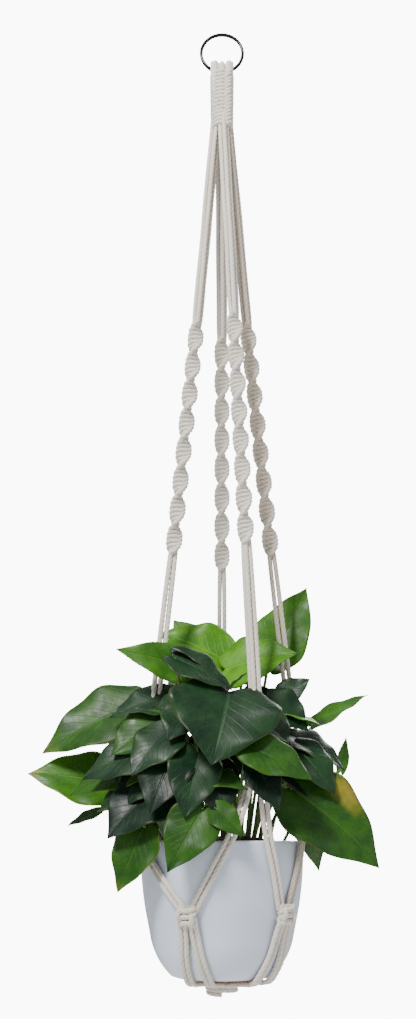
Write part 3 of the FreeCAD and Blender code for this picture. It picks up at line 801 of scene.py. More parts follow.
@dataclass
class Arm:
    """One of the four arms: its straight cords, its half-knot spiral and its two pairs over the pot."""

    name: str
    cotton: Material
    half_wide: float = 6.6
    half_thick: float = 1.8
    winding_pitch: float = 9.45
    half_turns: float = 8.0
    cord_in_knot: float = 4.9
    core_in_knot: float = 4.4
    quarter_radius: float = 7.45
    inside_sleeve: float = 14.0
    inside_spiral: float = 7.0
    stray: float = 0.5

    def grid(self) -> list[Vector]:
        """The four cords' places beside the arm's centre line."""
        turned = QUARTERS[self.name] + 45.0
        return [sideways(turned) * (PITCH * a) + outward(turned) * (PITCH * b) for a in HALVES for b in HALVES]

    def upper(self, rng: random.Random) -> Object:
        """Builds the straight cords, which turn with the arm and the sleeve.

        Args:
            rng: the source of their small unevenness.

        Returns:
            The cords.
        """
        shape = bmesh.new()
        start = arm_point(self.name, SPIRAL_START)
        way = (arm_point(self.name, SPIRAL_END) - start).normalized()
        for place in self.grid():
            begin = around(QUARTERS[self.name], self.quarter_radius, SLEEVE_END) + place
            end = start + place
            down = (end - begin).normalized()
            controls = [begin - down * self.inside_sleeve, begin]
            for share in (0.2, 0.4, 0.6, 0.8):
                aside, ahead = rng.uniform(-self.stray, self.stray), rng.uniform(-self.stray, self.stray)
                stray = Vector((aside, ahead, 0.0))
                controls.append(begin.lerp(end, share) + stray)
            controls += [end, end + way * self.inside_spiral - place * 0.35]
            add_cord(shape, smooth_line(controls, HANGER_CORD.step), CORD)
        return finished(f"{self.name}_straight_cords", shape, self.cotton)

    def spiral(self, rng: random.Random) -> Object:
        """Builds the half-knot spiral.

        Args:
            rng: the source of its first angle.

        Returns:
            The spiral.
        """
        shape = bmesh.new()
        start = arm_point(self.name, SPIRAL_START)
        end = arm_point(self.name, SPIRAL_END)
        way = (end - start).normalized()
        wide = Matrix.Rotation(rng.uniform(-0.25, 0.25), 3, way) @ outward(0.0)
        for phase in (0.0, math.pi):
            line = winding(start + way * 2.2, end - way * 2.2, wide, self.half_wide, self.half_thick,
                           self.winding_pitch, phase, self.half_turns)
            add_cord(shape, line, self.cord_in_knot)
        add_cord(shape, evenly([start + way * 1.5, end - way * 1.5], 3.0), self.core_in_knot)
        return finished(f"{self.name}_spiral_knots", shape, self.cotton)

    def lower(self) -> Object:
        """Builds the two pairs of cords from the spiral to the side knots."""
        shape = bmesh.new()
        for knot_azimuth, pairs in KNOTS.values():
            for order, (arm, pair) in enumerate(pairs):
                if arm == self.name:
                    for strand in HALVES:
                        line = smooth_line(self.route(pair, strand, knot_azimuth, order), 1.2)
                        add_cord(shape, line, CORD)
        return finished(f"{self.name}_pair_cords", shape, self.cotton)

    def route(self, pair: int, strand: float, knot: float, order: int) -> list[Vector]:
        """One cord's control points, from inside the spiral's end to inside its side knot.

        Args:
            pair: which of the arm's two pairs.
            strand: which cord of the pair, as minus or plus a half.
            knot: the side knot's azimuth.
            order: which side of the knot the pair enters, 0 or 1.

        Returns:
            The points in millimetres.
        """
        azimuth = ARM_AZIMUTH[self.name]
        rim_azimuth = ARM_RIM[self.name][pair]
        knot += 360.0 if knot - rim_azimuth < -180.0 else 0.0
        knot -= 360.0 if knot - rim_azimuth > 180.0 else 0.0
        away = strand * (PITCH + 0.7)
        beside = sideways(azimuth) * (HALVES[pair] * PITCH * 1.06)
        end = arm_point(self.name, SPIRAL_END) + beside + outward(azimuth) * away
        split = around(azimuth, *SPLIT) + beside + outward(azimuth) * away
        halfway = azimuth + (rim_azimuth - azimuth) * 0.55
        between = around(halfway, (SPLIT[0] + RIM[0] + STAND_OFF) / 2 + 0.5, (SPLIT[1] + RIM[1]) / 2)
        turned = math.radians(45.0)
        between += outward(halfway) * (away * math.cos(turned)) + sideways(halfway) * (away * math.sin(turned))
        inside = end + (end - split).normalized() * self.inside_spiral
        inside -= (beside + outward(azimuth) * away) * 0.3
        points = [inside, end, split, between]
        points += self.draped(rim_azimuth, knot + math.degrees((2 * order - 1) * 1.05 * PITCH / KNOT_RADIUS),
                              KNOT_DEPTH - KNOT_TALL / 2 + 5.0, strand * (PITCH + 0.25))
        return points

    @staticmethod
    def draped(start: float, end: float, end_depth: float, offset: float) -> list[Vector]:
        """A cord's points over the pot's wall, beside the middle of its pair.

        Args:
            start: the azimuth at the rim.
            end: the azimuth at the knot.
            end_depth: the depth at the knot.
            offset: how far the cord lies beside the middle of its pair.

        Returns:
            The points in millimetres.
        """
        span = end - start
        count = max(2, math.ceil(abs(span) / 13.0))
        mean = RIM[0] + STAND_OFF
        slope = math.atan2(math.radians(span) * mean, end_depth)
        points = []
        for index in range(count + 1):
            share = index / count
            lean = slope * (1.0 if index else 0.5)
            depth = -4.0 + (end_depth + 4.0) * share - offset * math.sin(lean)
            azimuth = start + span * share + math.degrees(offset * math.cos(lean) / mean)
            radius = pot_radius(max(depth, 0.0)) + STAND_OFF + (0.6 if index < 2 else 0.0)
            points.append(around(azimuth, radius, RIM[1] - depth))
        return points


@dataclass
class SideKnot:
    """One of the four square knots round the pot, with its four cords running on under the pot."""

    name: str
    azimuth: float
    cotton: Material
    half_wide: float = 7.2
    half_thick: float = 3.5
    half_tall: float = 8.6
    winding_pitch: float = 11.4
    cord_in_knot: float = 5.5
    keeper_cord: float = 4.7
    core_in_knot: float = 4.6
    wall_depths: tuple[float, ...] = (90.0, 103.0, 115.0, 125.0)
    base_spread: tuple[float, ...] = (0.0, 0.8, 2.4, 3.8, 4.8, 5.0, 3.6, 0.0)

    def frame(self) -> Matrix:
        """The knot's own axes: x beside, y outwards from the pot, z up its wall."""
        lean = pot_radius(KNOT_DEPTH - KNOT_TALL / 2) - pot_radius(KNOT_DEPTH + KNOT_TALL / 2)
        beside = sideways(self.azimuth)
        up = (UP * KNOT_TALL + outward(self.azimuth) * lean).normalized()
        out = up.cross(beside) * -1.0
        middle = around(self.azimuth, KNOT_RADIUS, RIM[1] - KNOT_DEPTH)
        axes = Matrix((beside, out, up)).transposed().to_4x4()
        return Matrix.Translation(middle) @ axes

    def laid(self, points: Sequence[Triple]) -> list[Vector]:
        """Carries points from the knot's own axes to the planter's."""
        frame = self.frame()
        return [frame @ Vector(p) for p in points]

    def knot(self, rng: random.Random) -> Object:
        """Builds the square knot.

        Args:
            rng: the source of its small unevenness.

        Returns:
            The knot.
        """
        shape = bmesh.new()
        frame = self.frame()
        axes = frame.to_3x3()
        up = axes @ UP
        middle = frame.translation
        half = up * self.half_tall
        for phase in (0.0, math.pi):
            line = winding(middle + half, middle - half, axes @ Vector((1.0, 0.0, 0.0)), self.half_wide,
                           self.half_thick, self.winding_pitch, phase + rng.uniform(-0.2, 0.2), 0.0)
            add_cord(shape, line, self.cord_in_knot)
        for way, level in ((-1, 1.5), (1, -2.6)):
            keeper = [
                (way * 4.2, 0.0, level + 6.0), (way * 6.4, 4.4, level + 4.2), (way * 6.9, 6.0, level),
                (way * 6.4, 4.4, level - 4.2), (way * 4.2, 0.0, level - 6.0),
            ]
            add_cord(shape, smooth_line(self.laid(keeper), 1.0), self.keeper_cord)
        for slot in ROW:
            run = [(slot * 4.6, 0.0, 10.0), (slot * 3.6, 0.0, 0.0), (slot * 4.6, 0.0, -10.0)]
            add_cord(shape, smooth_line(self.laid(run), 1.6), self.core_in_knot)
        return finished(f"{self.name}_square_knot", shape, self.cotton)

    def base_cords(self) -> Object:
        """Builds the four cords from the knot down and under the pot, to the gathering knot."""
        under = FOOT[1] + CORD / 2 + 0.9
        profile = [(KNOT_RADIUS, KNOT_DEPTH + KNOT_TALL / 2 - 6.0)]
        profile += [(pot_radius(depth) + STAND_OFF, depth) for depth in self.wall_depths]
        profile += [(FOOT[0] + 1.5, under + 0.4), (FOOT[0] - 14.0, under + 0.8)]
        profile += [(GATHER_RADIUS - 6.0, under + 4.2)]
        shape = bmesh.new()
        for slot in ROW:
            controls = []
            for (radius, depth), spread in zip(profile, self.base_spread):
                beside = slot * PITCH + math.copysign(spread, slot)
                point = around(self.azimuth, radius, RIM[1] - depth)
                controls.append(point + sideways(self.azimuth) * beside)
            add_cord(shape, smooth_line(controls, HANGER_CORD.step), CORD)
        return finished(f"{self.name}_under_cords", shape, self.cotton)


@dataclass
class GatheringKnot:
    """The knot under the pot where all sixteen cords meet: three wraps and the crossed cords below them."""

    cotton: Material
    wraps: int = 3
    wrap_points: int = 60
    wrap_radius: float = 15.9
    wrap_pitch: float = 4.3
    crossings: int = 6

    def build(self) -> Object:
        """Builds the gathering knot."""
        shape = bmesh.new()
        top = RIM[1] - GATHER_TOP - 2.6
        raw = []
        for index in range(self.wraps * self.wrap_points + 1):
            turn = index / self.wrap_points
            raw.append(around(360.0 * turn, self.wrap_radius - 0.9 * turn, top - self.wrap_pitch * turn))
        add_cord(shape, evenly(raw, HANGER_CORD.step), CORD)
        for index in range(self.crossings):
            azimuth = 12.0 + index * 30.0
            beyond = azimuth + 180.0
            low = -GATHER_END + RIM[1] + 2.6 + (index % 3) * 1.7
            across = sideways(azimuth) * ((index % 2 - 0.5) * 9.0)
            controls = [
                around(azimuth, 10.5, top - 4.0) + across, around(azimuth, 12.0, low + 2.0) + across,
                around(azimuth, 4.0, low) + across * 0.8, around(beyond, 4.0, low) + across * 0.8,
                around(beyond, 12.0, low + 2.0) + across, around(beyond, 10.5, top - 4.0) + across,
            ]
            add_cord(shape, smooth_line(controls, HANGER_CORD.step), CORD)
        return finished("gathering_knot_cords", shape, self.cotton)


@dataclass
class Pot:
    """The thrown pot: a glazed wall that rounds in at its foot, with a painted shadow line, reddish-brown,
    round the foot's edge.
    """

    glaze: Material
    clay: Material
    wall: float = 4.0
    floor: float = 5.0
    soften: float = 9.0
    softened_reach: float = 24.0
    bare_tall: float = 1.4
    steps: int = 160

    def outer(self, depth: float) -> float:
        """The wall's radius at a depth, with the change of curve at the shoulder softened."""
        half = self.soften * max(0.0, 1.0 - abs(depth - SHOULDER[1]) / self.softened_reach)
        return (pot_radius(depth - half) + 2.0 * pot_radius(depth) + pot_radius(depth + half)) / 4.0

    def build(self) -> Object:
        """Builds the pot."""
        lip = self.wall / 2
        line = [(0.0, FOOT[1]), (FOOT[0] * 0.6, FOOT[1]), (FOOT[0] - 2.0, FOOT[1])]
        line.append((FOOT[0] - 0.5, FOOT[1] - 0.3))
        for index in range(64):
            depth = FOOT[1] - 1.0 - 2.0 * index
            line.append((self.outer(depth), depth))
        for index in range(9):
            turn = math.pi * index / 8
            line.append((RIM[0] - lip + lip * math.cos(turn), lip - lip * math.sin(turn)))
        line += [(self.outer(depth) - self.wall, depth) for depth in range(6, round(FOOT[1] - self.floor), 6)]
        line += [(0.0, FOOT[1] - self.floor)]
        shape = lathed(line, self.steps, SAME_POINT, False)
        # The faces this near the foot take the painted shadow line.
        foot_shadow_top = (RIM[1] - FOOT[1] + self.bare_tall) * MM
        for face in shape.faces:
            face.smooth = True
            face.material_index = 1 if face.calc_center_median().z < foot_shadow_top else 0
        return finished("thrown_pot", shape, self.glaze, self.clay)


# ----------------------------------------------------------------------------------------------------
# The plant
# ----------------------------------------------------------------------------------------------------
@dataclass(frozen=True)
class Leaf:
    """One leaf on its stalk. Points are (x, y, height above the rim), and face is the way its upper side looks.

    curl is the angle that it is bent over, and arch is the height that its stalk arches to, or 0 for a
    straight one.
    The shares after its tone shape its blade, and patch is the place and the size of a browned spot on its map.
    """

    name: str
    base: Triple
    tip: Triple
    face: Triple
    width: float
    curl: float = 20.0
    arch: float = 0.0
    tone: LeafTone = LeafTone.MID
    channel: float = 0.16
    wave: float = 0.035
    lobe: float = 0.10
    hook: float = 0.0
    droop: float = 0.0
    yellow: float = 0.0
    patch: Triple = (0.0, 0.0, 0.0)


B, F, M, D, K = LeafTone.BRIGHT, LeafTone.FRESH, LeafTone.MID, LeafTone.DEEP, LeafTone.DARK
LEAVES = (
    Leaf("upper_left_broad", (3, 15, 186), (-66, 25, 218), (0.1, -0.9, 0.4), 68, 25, tone=B, lobe=0.12,
         droop=0.05),
    Leaf("upper_left_pointed", (-22, -32, 166), (-104, -44, 187), (-0.1, -0.96, 0.25), 42, 20, tone=F,
         channel=0.3),
    Leaf("upper_curl", (-12, -52, 160), (-52, -62, 186), (0.2, -0.3, 0.9), 20, 30, tone=D, channel=0.3),
    Leaf("upper_small_dark", (4, -44, 143), (24, -50, 162), (0, -0.3, 0.95), 18, 20, tone=K),
    Leaf("upper_right_bright", (3, -2, 174), (75, -27, 186), (-0.1, -0.85, 0.5), 64, 20, tone=B, channel=0.2),
    Leaf("upper_right_tall", (48, 22, 184), (96, 37, 267), (-0.2, -0.95, 0.2), 62, 15, tone=F, hook=0.06),
    Leaf("front_great", (7, -67.5, 141), (-9, -107, 68), (0.12, -0.88, 0.45), 108, 30, tone=D,
         channel=0.24, lobe=0.1,
         wave=0.03),
    Leaf("front_right_long", (22, -91, 87), (82, -102, 55), (0.2, -0.85, 0.5), 46, 20, tone=M),
    Leaf("right_bright_low", (49, -30, 126), (97, -45, 111), (0, -0.25, 0.95), 26, 25, tone=B),
    Leaf("right_silver_tip", (92, 13, 117), (150, 8, 149), (-0.3, -0.5, 0.8), 34, 15, tone=F),
    Leaf("right_drooping", (66, -44, 50), (153, -48, -22), (0.3, -0.9, 0.3), 84, 30, 62, tone=M, lobe=0.16,
         wave=0.03, patch=(0.42, 0.90, 0.15), hook=-0.05),
    Leaf("right_narrow", (123, 25, 71), (130, 30, 107), (0.3, -0.9, 0), 14, 10, tone=F, yellow=0.4),
    Leaf("right_dark", (68, -20, 104), (120, -30, 69), (0.3, -0.6, 0.7), 44, 30, tone=D),
    Leaf("left_large", (-86, 6, 140), (-183, 4, 88), (-0.2, -0.85, 0.5), 74, 20, tone=M, channel=0.26,
         yellow=0.15),
    Leaf("left_outer", (-108, 18, 56), (-198, 8, 68), (-0.1, -0.85, 0.5), 66, 25, tone=F, yellow=0.5),
    Leaf("lower_left_dark", (-52, -50, 58), (-107, -68, 2), (-0.2, -0.8, 0.55), 76, 30, tone=K, channel=0.24),
    Leaf("left_hanging", (-72, -64, 14), (-98, -60, -48), (-0.35, -0.85, 0.2), 50, 15, 45, tone=M,
         yellow=0.2),
    Leaf("front_low_bright", (-17, -90, 30), (-49, -102, -28), (0, -0.95, 0.3), 50, 20, 45, tone=M),
    Leaf("front_middle", (-36, -60, 70), (23, -94, 46), (0, -0.7, 0.7), 40, 20, tone=M),
    Leaf("left_inner_bright", (-58, -46, 116), (-106, -60, 80), (-0.1, -0.85, 0.5), 52, 20, tone=M),
    Leaf("front_low_small", (-8, -92, 30), (19, -100, 4), (0.1, -0.9, 0.4), 28, 15, 45, tone=M),
    Leaf("left_inner_dark", (-53, -35, 124), (-101, -50, 124), (0, -0.4, 0.9), 26, 15, tone=D),
    Leaf("right_inner_dark", (58, -24, 142), (88, -25, 160), (0, -0.9, 0.4), 28, 15, tone=D),
    Leaf("left_slim", (-126, 25, 30), (-161, 35, 15), (0, -0.7, 0.7), 16, 20, 45, tone=M),
    Leaf("back_right_low", (78, 52, 42), (104, 72, -32), (0.6, 0.75, 0.1), 48, 20, 50, tone=M),
    Leaf("back_left_upper", (-25, 45, 150), (-60, 105, 168), (0, 0.6, 0.8), 58, 25, tone=F),
    Leaf("back_right_upper", (30, 48, 140), (62, 112, 148), (0, 0.6, 0.8), 60, 25, tone=M),
    Leaf("back_left_drooping", (-55, 70, 75), (-95, 125, 15), (-0.3, 0.7, 0.6), 66, 30, tone=M, lobe=0.14),
    Leaf("back_right_drooping", (62, 72, 70), (98, 130, 5), (0.3, 0.7, 0.6), 68, 30, tone=D, lobe=0.14),
    Leaf("back_centre", (2, 28, 132), (6, 52, 92), (0, 0.9, 0.4), 40, 25, tone=D),
    Leaf("back_left_top", (-18, 22, 190), (-52, 42, 235), (-0.2, 0.9, 0.3), 50, 20, tone=F),
    Leaf("back_right_top", (20, 24, 180), (58, 54, 205), (0.2, 0.9, 0.4), 52, 25, tone=M),
    Leaf("back_left_low", (-62, 64, 40), (-84, 92, -30), (-0.5, 0.8, 0.1), 48, 20, 48, tone=D),
)
# Small leaves deep among the others, which fill the heart of the plant and stand for no node. They are real
# leaves, and their dark tones are painted shade for the plant's dark heart.
INNER_LEAVES = (
    Leaf("inner_top_front", (-48, -60, 176), (10, -72, 142), (0, -0.7, 0.7), 42, 20, tone=D, channel=0.24),
    Leaf("inner_left_front", (-48, -66, 104), (-84, -84, 60), (-0.2, -0.8, 0.5), 52, 25, tone=D),
    Leaf("inner_low_left", (-44, -70, 86), (-66, -92, 24), (-0.1, -0.85, 0.4), 56, 25, tone=K),
    Leaf("inner_low_middle", (-22, -76, 82), (-34, -98, 20), (0.1, -0.9, 0.3), 52, 25, tone=D, channel=0.24),
    Leaf("inner_low_right", (-8, -70, 74), (0, -96, 16), (0.2, -0.9, 0.3), 46, 20, tone=K),
    Leaf("inner_right_low", (54, -24, 84), (88, -46, 38), (0.3, -0.8, 0.5), 40, 25, tone=K),
    Leaf("inner_behind_great", (-8, -28, 152), (-64, -50, 126), (0, -0.6, 0.8), 48, 20, tone=D),
    Leaf("inner_left_outer", (-60, -58, 92), (-134, -50, 58), (-0.1, -0.8, 0.6), 56, 25, tone=D),
    Leaf("inner_left_behind", (-52, 30, 95), (-132, 36, 66), (-0.1, -0.8, 0.5), 62, 25, tone=K),
    Leaf("inner_left_lowest", (-62, -52, 66), (-118, -44, 30), (-0.2, -0.8, 0.5), 48, 25, tone=D),
    Leaf("inner_heart_a", (-30, 8, 100), (-58, -8, 32), (0, -0.95, 0.3), 66, 20, tone=K),
    Leaf("inner_heart_b", (0, -6, 110), (-8, -20, 40), (0, -0.95, 0.3), 66, 20, tone=K),
    Leaf("inner_heart_c", (26, 4, 118), (28, -14, 52), (0, -0.95, 0.3), 50, 20, tone=K),
    Leaf("inner_heart_d", (20, 20, 150), (52, 12, 96), (0, -0.95, 0.3), 60, 20, tone=K),
    Leaf("inner_heart_e", (-44, 18, 150), (-72, 18, 92), (0, -0.95, 0.3), 58, 20, tone=K),
    Leaf("inner_heart_f", (60, 30, 96), (98, 34, 46), (0.2, -0.9, 0.3), 56, 20, tone=K),
    Leaf("inner_right_high", (44, -34, 140), (84, -44, 106), (0.1, -0.85, 0.5), 46, 20, tone=D),
    Leaf("inner_right_middle", (70, -34, 92), (108, -56, 44), (0.3, -0.8, 0.5), 50, 20, tone=D),
    Leaf("inner_left_top", (-50, -20, 142), (-112, -22, 122), (-0.1, -0.8, 0.6), 48, 20, tone=D),
    Leaf("inner_left_wide", (-62, -40, 82), (-150, -24, 44), (-0.1, -0.8, 0.5), 50, 25, tone=M),
    Leaf("inner_front_top", (-30, -56, 128), (-50, -86, 92), (-0.1, -0.8, 0.5), 46, 20, tone=D),
    Leaf("inner_under_right", (30, -84, 72), (52, -96, 28), (0.2, -0.9, 0.3), 36, 20, tone=K),
    Leaf("inner_above_right", (34, -52, 118), (62, -84, 90), (0.2, -0.8, 0.5), 44, 20, tone=D),
)


# Where along a blade it is widest, and its width at its base as a share of that.
WIDEST_AT = 0.27
BASE_WIDTH = 0.60


@dataclass
class Plant:
    """The trailing house plant: every leaf's blade and stalk, and the soil that they stand in."""

    stalk: Material
    soil: Material
    along_cells: int = 36
    across_cells: int = 20
    blade_thick: float = 0.7
    stalk_width: float = 3.2
    soil_steps: int = 84
    mound_steps: int = 18
    soil_depths: tuple[float, ...] = (115.0, 100.0, 86.0, 60.0, 35.0, 12.0, SOIL_DEPTH)
    crumb: float = 2.6

    def blade(self, leaf: Leaf, rng: random.Random) -> BMesh:
        """Builds one blade: heart-shaped, channelled along its midrib, bent over its length, wavy at its edge.

        Args:
            leaf: the leaf's own sizes.
            rng: the source of its unevenness.

        Returns:
            The blade's mesh in metres, one skin thick, with its map.
        """
        base, tip = Vector(leaf.base), Vector(leaf.tip)
        length = (tip - base).length
        along = (tip - base).normalized()
        across = Vector(leaf.face).cross(along).normalized()
        normal = along.cross(across)
        bend = math.radians(leaf.curl)
        radius = length / (2 * math.sin(bend / 2))
        phase = rng.uniform(0.0, math.tau)
        seed = rng.uniform(0.0, 100.0)
        shape = bmesh.new()
        shape.loops.layers.uv.new("UVMap")
        bmesh.ops.create_grid(
            shape, x_segments=self.along_cells, y_segments=self.across_cells, size=0.5, calc_uvs=True
        )
        lift = Vector((0.0, 0.0, RIM[1]))
        axes = (along, across, normal)
        for vert in shape.verts:
            u = vert.co.x + 0.5
            v = vert.co.y * 2.0
            vert.co = (base + lift + self.blade_point(leaf, length, radius, u, v, phase, seed, axes)) * MM
        for face in shape.faces:
            face.smooth = True
        bmesh.ops.remove_doubles(shape, verts=shape.verts[:], dist=SAME_POINT)
        return shape

    @staticmethod
    def half_width(u: float) -> float:
        """The outline's half width at a share of the blade's length, as a share of the widest."""
        if u < WIDEST_AT:
            return BASE_WIDTH + (1.0 - BASE_WIDTH) * math.sin(u / WIDEST_AT * math.pi / 2)
        t = (u - WIDEST_AT) / (1.0 - WIDEST_AT)
        return (1.0 - t**1.75) * (1.0 - 0.22 * t * t) + 0.02 * math.sin(math.pi * t)

    @staticmethod
    def blade_point(leaf: Leaf, length: float, radius: float, u: float, v: float, phase: float,
                    seed: float, axes: tuple[Vector, Vector, Vector]) -> Vector:
        """One point of a blade, from its base.

        Args:
            leaf: the leaf's own sizes.
            length: from its base to its tip.
            radius: the radius that the blade is bent over.
            u: the share of the way from base to tip.
            v: the place across it, from -1 to 1.
            phase: where its wave starts.
            seed: where its unevenness is read from.
            axes: along it, across it and out of its face.

        Returns:
            The point in millimetres.
        """
        half = Plant.half_width(u)
        half *= 1.0 + 0.05 * noise.noise(Vector((u * 3.0, seed, 0.5 if v > 0 else 4.5)))
        edge = abs(v)
        x = length * (u - leaf.lobe * (1.0 - u) ** 4 * math.sin(math.pi * min(1.0, edge * 0.80)))
        y = leaf.width / 2 * half * v + leaf.hook * length * u * u
        sag = radius - radius * math.cos(math.asin(min(1.0, length / 2 / radius)))
        z = sag * (1.0 - (2.0 * u - 1.0) ** 2)
        z += leaf.channel * leaf.width / 2 * half * (edge**1.3 - 0.55 * edge**3)
        ripple = math.sin(phase + u * 15.0 + (1.3 if v > 0 else 0.0))
        z += leaf.wave * leaf.width * ripple * edge**2 * (1.0 - u**6)
        z += 0.02 * leaf.width * noise.noise(Vector((u * 2.2, v * 1.4, seed)))
        z -= leaf.droop * length * max(0.0, u - 0.6) ** 2 * 4.0
        along, across, normal = axes
        return along * x + across * y + normal * z

    def stalk_line(self, leaf: Leaf) -> list[Vector]:
        """A leaf's stalk, from under the soil to the blade, as points in millimetres."""
        base = Vector(leaf.base) + Vector((0.0, 0.0, RIM[1]))
        tip = Vector(leaf.tip) + Vector((0.0, 0.0, RIM[1]))
        soil = RIM[1] - SOIL_DEPTH
        reach = math.hypot(base.x, base.y)
        root_reach = min(0.45 * reach + 4.0, 58.0)
        flat = Vector((base.x, base.y, 0.0))
        root = flat * (root_reach / max(reach, 1.0)) + UP * soil
        if leaf.arch:
            middle = flat * ((root_reach + (reach - root_reach) * 0.55) / reach) + UP * (RIM[1] + leaf.arch)
        else:
            middle = root + (base - root) * 0.28
            middle.z = soil + (base.z - soil) * 0.55
        grip = base + (tip - base).normalized() * 2.5
        return smooth_line([root - UP * 6.0, middle, grip], 2.0)

    def leaf_piece(self, leaf: Leaf, rng: random.Random) -> Object:
        """Builds one leaf with its stalk.

        Args:
            leaf: the leaf's own sizes.
            rng: the source of its unevenness.

        Returns:
            The leaf.
        """
        shape = self.thickened(self.blade(leaf, rng))
        stem = bmesh.new()
        add_cord(stem, self.stalk_line(leaf), self.stalk_width, STALK_CORD)
        for face in stem.faces:
            face.material_index = 2
        join(shape, stem)
        top = LeafFinish(leaf.tone, yellow=leaf.yellow, patch=leaf.patch).material()
        under = LeafFinish(leaf.tone, under=True).material()
        return finished(f"{leaf.name}_blade", shape, top, under, self.stalk)

    def thickened(self, skin: BMesh) -> BMesh:
        """Gives a blade's skin its thickness, with the second material on its underside.

        Args:
            skin: the blade, one skin thick, which is freed.

        Returns:
            The solid blade.
        """
        mesh = bpy.data.meshes.new("skin")
        skin.to_mesh(mesh)
        skin.free()
        carrier = bpy.data.objects.new("skin", mesh)
        bpy.context.scene.collection.objects.link(carrier)
        wall = carrier.modifiers.new("wall", "SOLIDIFY")
        wall.thickness = self.blade_thick * MM
        wall.offset = -1.0
        wall.material_offset = 1
        wall.use_quality_normals = True
        for _ in range(2):
            mesh.materials.append(None)
        bpy.context.view_layer.update()
        graph = bpy.context.evaluated_depsgraph_get()
        solid = bpy.data.meshes.new_from_object(carrier.evaluated_get(graph))
        shape = bmesh.new()
        shape.from_mesh(solid)
        bpy.data.objects.remove(carrier)
        bpy.data.meshes.remove(mesh)
        bpy.data.meshes.remove(solid)
        return shape

    def soil_surface(self, rng: random.Random) -> Object:
        """Builds the root ball with its crumbly top.

        Args:
            rng: the source of the crumbs' unevenness.

        Returns:
            The root ball.
        """
        bottom = FOOT[1] - 5.5
        profile = [(0.0, bottom), (FOOT[0] - 5.0, bottom)]
        profile += [(pot_radius(depth) - 4.8, depth) for depth in self.soil_depths]
        edge = RIM[0] - 5.5
        for step in range(1, self.mound_steps):
            share = step / self.mound_steps
            rise = math.sin(min(share * 1.36, 1.0) * math.pi / 2)
            profile.append((edge * (1.0 - share), SOIL_DEPTH - SOIL_MOUND * rise))
        profile.append((0.0, SOIL_DEPTH - SOIL_MOUND))
        shape = lathed(profile, self.soil_steps, 0.00005, True)
        seed = rng.uniform(0.0, 50.0)
        top = (RIM[1] - SOIL_DEPTH - 0.5) * MM
        for vert in shape.verts:
            if vert.co.z > top and math.hypot(vert.co.x, vert.co.y) < (RIM[0] - 7.0) * MM:
                vert.co.z += noise.noise(vert.co * 130.0 + Vector((seed, 0, 0))) * self.crumb * MM
        for face in shape.faces:
            face.smooth = True
        return finished("root_ball_soil", shape, self.soil)


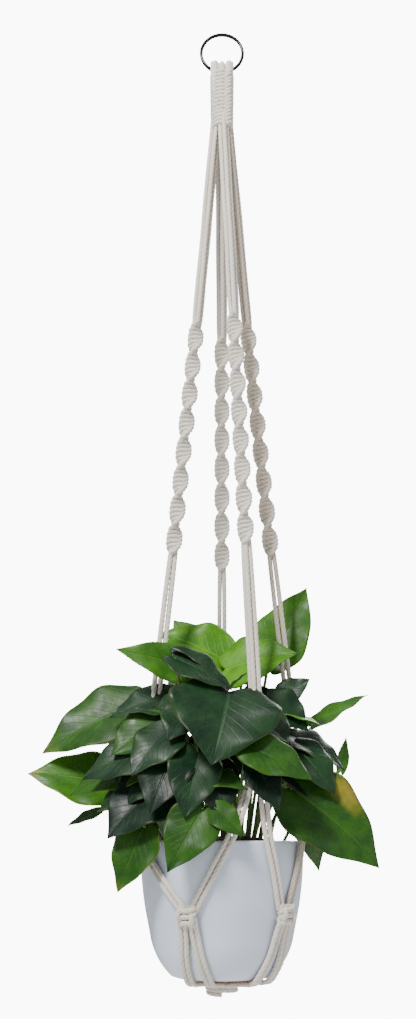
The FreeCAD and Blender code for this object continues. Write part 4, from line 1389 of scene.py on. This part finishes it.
# ----------------------------------------------------------------------------------------------------
# The studio
# ----------------------------------------------------------------------------------------------------
@dataclass
class Studio:
    """A pale floor and world, soft lights and the camera."""

    floor_z: float = -1.90
    floor_radius: float = 3.6
    lens: float = 35.33
    shift: tuple[float, float] = (-0.0137, 0.187)
    distance: float = 1.012
    tip: float = 98.0
    seen_strength: float = 10.0
    lit_strength: float = 0.52

    def build(self) -> None:
        """Builds the floor, the world, the lights and the camera."""
        shape = bmesh.new()
        bmesh.ops.create_circle(shape, cap_ends=True, segments=96, radius=self.floor_radius)
        bmesh.ops.translate(shape, verts=shape.verts[:], vec=(0.0, 0.0, self.floor_z))
        g = Graph("studio_floor")
        grain = g.ramp(g.noise(g.place(), 6.0, 2.0), 0.3, 0.7)
        paint = g.finish(g.mix(grain, (0.90, 0.90, 0.90), (0.93, 0.93, 0.93)), 0.85)
        floor = finished("studio_floor", shape, paint)
        world = bpy.data.worlds.new("studio")
        world.use_nodes = True
        tree = world.node_tree
        background = tree.nodes["Background"]
        background.inputs["Color"].default_value = (0.97, 0.98, 1.0, 1.0)
        seen = tree.nodes.new("ShaderNodeLightPath").outputs["Is Camera Ray"]
        level = tree.nodes.new("ShaderNodeMath")
        level.operation = "MULTIPLY_ADD"
        tree.links.new(seen, level.inputs[0])
        level.inputs[1].default_value = self.seen_strength
        level.inputs[2].default_value = self.lit_strength
        tree.links.new(level.outputs[0], background.inputs["Strength"])
        bpy.context.scene.world = world
        self.light("key", (-0.9, -1.4, 0.9), (0.0, 0.0, -0.75), 0.55, 84.0, (1.0, 0.985, 0.96))
        self.light("fill", (1.9, -1.2, -0.4), (0.0, 0.0, -0.7), 1.6, 9.0, (0.93, 0.96, 1.0))
        self.light("rim", (0.9, 1.7, 0.6), (0.0, 0.0, -0.6), 1.2, 55.0, (1.0, 1.0, 1.0))
        self.camera()

    @staticmethod
    def light(name: str, place: Triple, aim: Triple, size: float, power: float, colour: Triple) -> None:
        """Adds one soft light.

        Args:
            name: the light's name.
            place: where it stands, in metres.
            aim: the point that it faces.
            size: its side in metres.
            power: its power in watts.
            colour: its colour.
        """
        lamp = bpy.data.lights.new(name, "AREA")
        lamp.size = size
        lamp.energy = power
        lamp.color = colour
        stand = bpy.data.objects.new(name, lamp)
        stand.location = place
        stand.rotation_euler = (Vector(aim) - Vector(place)).to_track_quat("-Z", "Y").to_euler()
        bpy.context.scene.collection.objects.link(stand)

    def camera(self) -> None:
        """Adds the camera, near the pot's height and tipped up a little."""
        lens = bpy.data.cameras.new("camera")
        lens.lens = self.lens
        lens.sensor_width = 36.0
        lens.shift_x, lens.shift_y = self.shift
        lens.clip_start = 0.01
        stand = bpy.data.objects.new("camera", lens)
        stand.location = (0.0, -self.distance, RIM[1] * MM)
        stand.rotation_euler = (math.radians(self.tip), 0.0, 0.0)
        bpy.context.scene.collection.objects.link(stand)
        bpy.context.scene.camera = stand


def dress(node: Object, material: Material) -> None:
    """Gives a carried-over CAD node its finish."""
    for slot in node.material_slots:
        slot.material = material


def main() -> None:
    """Builds the planter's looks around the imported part."""
    logging.basicConfig(level=logging.INFO, format="%(name)s: %(message)s")
    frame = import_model()
    rng = random.Random(SEED)

    cotton = CottonFinish().material()
    dress(frame["nodes"]["hanging_ring"], BlackSteelFinish().material())
    pot = Pot(GlazeFinish().material(), ClayFinish().material()).build()
    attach(pot, "pot")
    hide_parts("glazed_pot")

    loops = RingLoops(cotton).build()
    sleeve = WrapSleeve(cotton).build(rng)
    for piece, nodes in ((loops, ("ring_loops", "core_cords")), (sleeve, ("wrap_sleeve",))):
        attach(piece, "hanger_top")
        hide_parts(*nodes)

    # A darker, warmer copy of the cotton, painted shade for the right arm.
    shaded = CottonFinish("cotton_cord_shaded", (0.74, 0.66, 0.55), (0.30, 0.24, 0.18)).material()
    for name in ARM_AZIMUTH:
        arm = Arm(name, shaded if name == "right" else cotton)
        upper = arm.upper(rng)
        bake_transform(upper)
        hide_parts(f"{name}_arm_upper_cords")
        for piece, node in ((arm.spiral(rng), "spiral"), (arm.lower(), "lower_cords")):
            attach(piece, "cradle")
            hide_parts(f"{name}_arm_{node}")

    for name, (azimuth, _) in KNOTS.items():
        knot = SideKnot(name, azimuth, cotton)
        for piece, node in ((knot.knot(rng), "side_knot"), (knot.base_cords(), "base_cords")):
            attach(piece, "cradle")
            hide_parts(f"{name}_{node}")
    gathering = GatheringKnot(cotton).build()
    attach(gathering, "cradle")
    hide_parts("gathering_knot")

    plant = Plant(StalkFinish().material(), SoilFinish().material())
    for leaf in LEAVES:
        piece = plant.leaf_piece(leaf, rng)
        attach(piece, "plant")
        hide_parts(f"leaf_{leaf.name}")
    for leaf in INNER_LEAVES:
        piece = plant.leaf_piece(leaf, rng)
        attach(piece, "plant")
    soil = plant.soil_surface(rng)
    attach(soil, "plant")
    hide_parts("root_ball")

    Studio().build()


if __name__ == "__main__":
    main()
